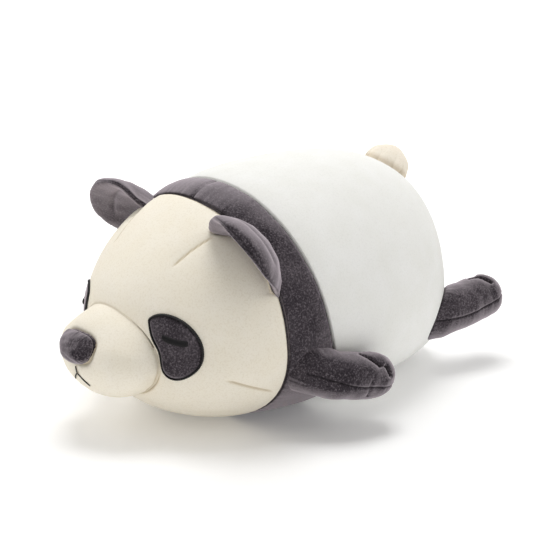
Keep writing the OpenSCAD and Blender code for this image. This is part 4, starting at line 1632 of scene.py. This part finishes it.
@dataclass(frozen=True)
class Studio:
    """A pale floor, soft light and the camera, in metres."""

    floor_size: float = 14.0
    floor_drop: float = 0.0002
    camera_at: Triple = (1.1145, -0.8621, 0.5362)
    target: Triple = (-0.0183, 0.0229, 0.0940)
    lens: float = 102.86
    sky: tuple[float, ...] = (1.0, 0.985, 0.955, 1.0)
    sky_strength: float = 0.4
    lamps: tuple[Lamp, ...] = (
        Lamp("key_light", (-1.3, -1.6, 1.9), 1.6, 13.0),
        Lamp("rear_left_light", (-1.6, 1.7, 0.9), 1.8, 19.0),
        Lamp("rear_right_light", (1.9, 1.9, 1.1), 1.8, 12.0),
        Lamp("top_light", (-0.3, 0.2, 2.5), 1.2, 32.0),
    )

    def build(self) -> None:
        """Sets up the floor, the lights and the camera."""
        self.lay_floor()
        self.light_sky()
        for lamp in self.lamps:
            self.hang_lamp(lamp)
        self.set_camera()
        view = bpy.context.scene.view_settings
        view.view_transform = "Standard"
        view.look = "None"

    def lay_floor(self) -> None:
        """Lays the floor just under the panda."""
        bpy.ops.object.select_all(action="DESELECT")
        bpy.ops.mesh.primitive_plane_add(size=self.floor_size, location=(0.0, 0.0, -self.floor_drop))
        floor = bpy.context.object
        floor.name = "studio_floor"
        bpy.ops.object.transform_apply(location=True, rotation=True, scale=True)
        sheet = NodeSheet("studio_floor")
        tone = sheet.mix(sheet.noise(3.0, 2.0), linear(250, 250, 250), linear(252, 252, 252))
        sheet.link(tone, sheet.shader.inputs["Base Color"])
        sheet.settle(Roughness=0.9, Specular_IOR_Level=0.1)
        sheet.link(tone, sheet.shader.inputs["Emission Color"])
        away = sheet.tree.nodes.new("ShaderNodeVectorMath")
        away.operation = "LENGTH"
        sheet.link(sheet.coords.outputs["Object"], away.inputs[0])
        glow = sheet.spread(away.outputs["Value"], 0.35, 2.2, 0.12, 0.7)
        sheet.link(glow, sheet.shader.inputs["Emission Strength"])
        floor.data.materials.append(sheet.material)

    def light_sky(self) -> None:
        """Fills the studio with even light."""
        world = bpy.data.worlds.new("studio")
        world.use_nodes = True
        back = world.node_tree.nodes["Background"]
        back.inputs["Color"].default_value = self.sky
        back.inputs["Strength"].default_value = self.sky_strength
        bpy.context.scene.world = world

    def turn_from(self, place: Triple) -> Sequence[float]:
        """The turn with which a lamp or camera at a place looks at the panda."""
        return (Vector(self.target) - Vector(place)).to_track_quat("-Z", "Y").to_euler()

    def hang_lamp(self, lamp: Lamp) -> None:
        """Hangs one lamp that looks at the panda."""
        turn = self.turn_from(lamp.place)
        bpy.ops.object.light_add(type="AREA", location=lamp.place, rotation=turn)
        light = bpy.context.object
        light.name = lamp.name
        light.data.shape = "SQUARE"
        light.data.size = lamp.size
        light.data.energy = lamp.power

    def set_camera(self) -> None:
        """Sets the camera at the wanted angle."""
        turn = self.turn_from(self.camera_at)
        bpy.ops.object.camera_add(location=self.camera_at, rotation=turn)
        camera = bpy.context.object
        camera.data.lens = self.lens
        camera.data.sensor_width = 36.0
        bpy.context.scene.camera = camera


def main() -> None:
    """Builds the panda piece by piece, then the studio round it."""
    logging.basicConfig(level=logging.INFO, format="%(name)s: %(message)s")
    Studio().build()
    Head().build()
    NeckBand().build()
    Trunk().build()
    for limb in (ARM, LEG):
        limb.build()
    Tail().build()


if __name__ == "__main__":
    main()
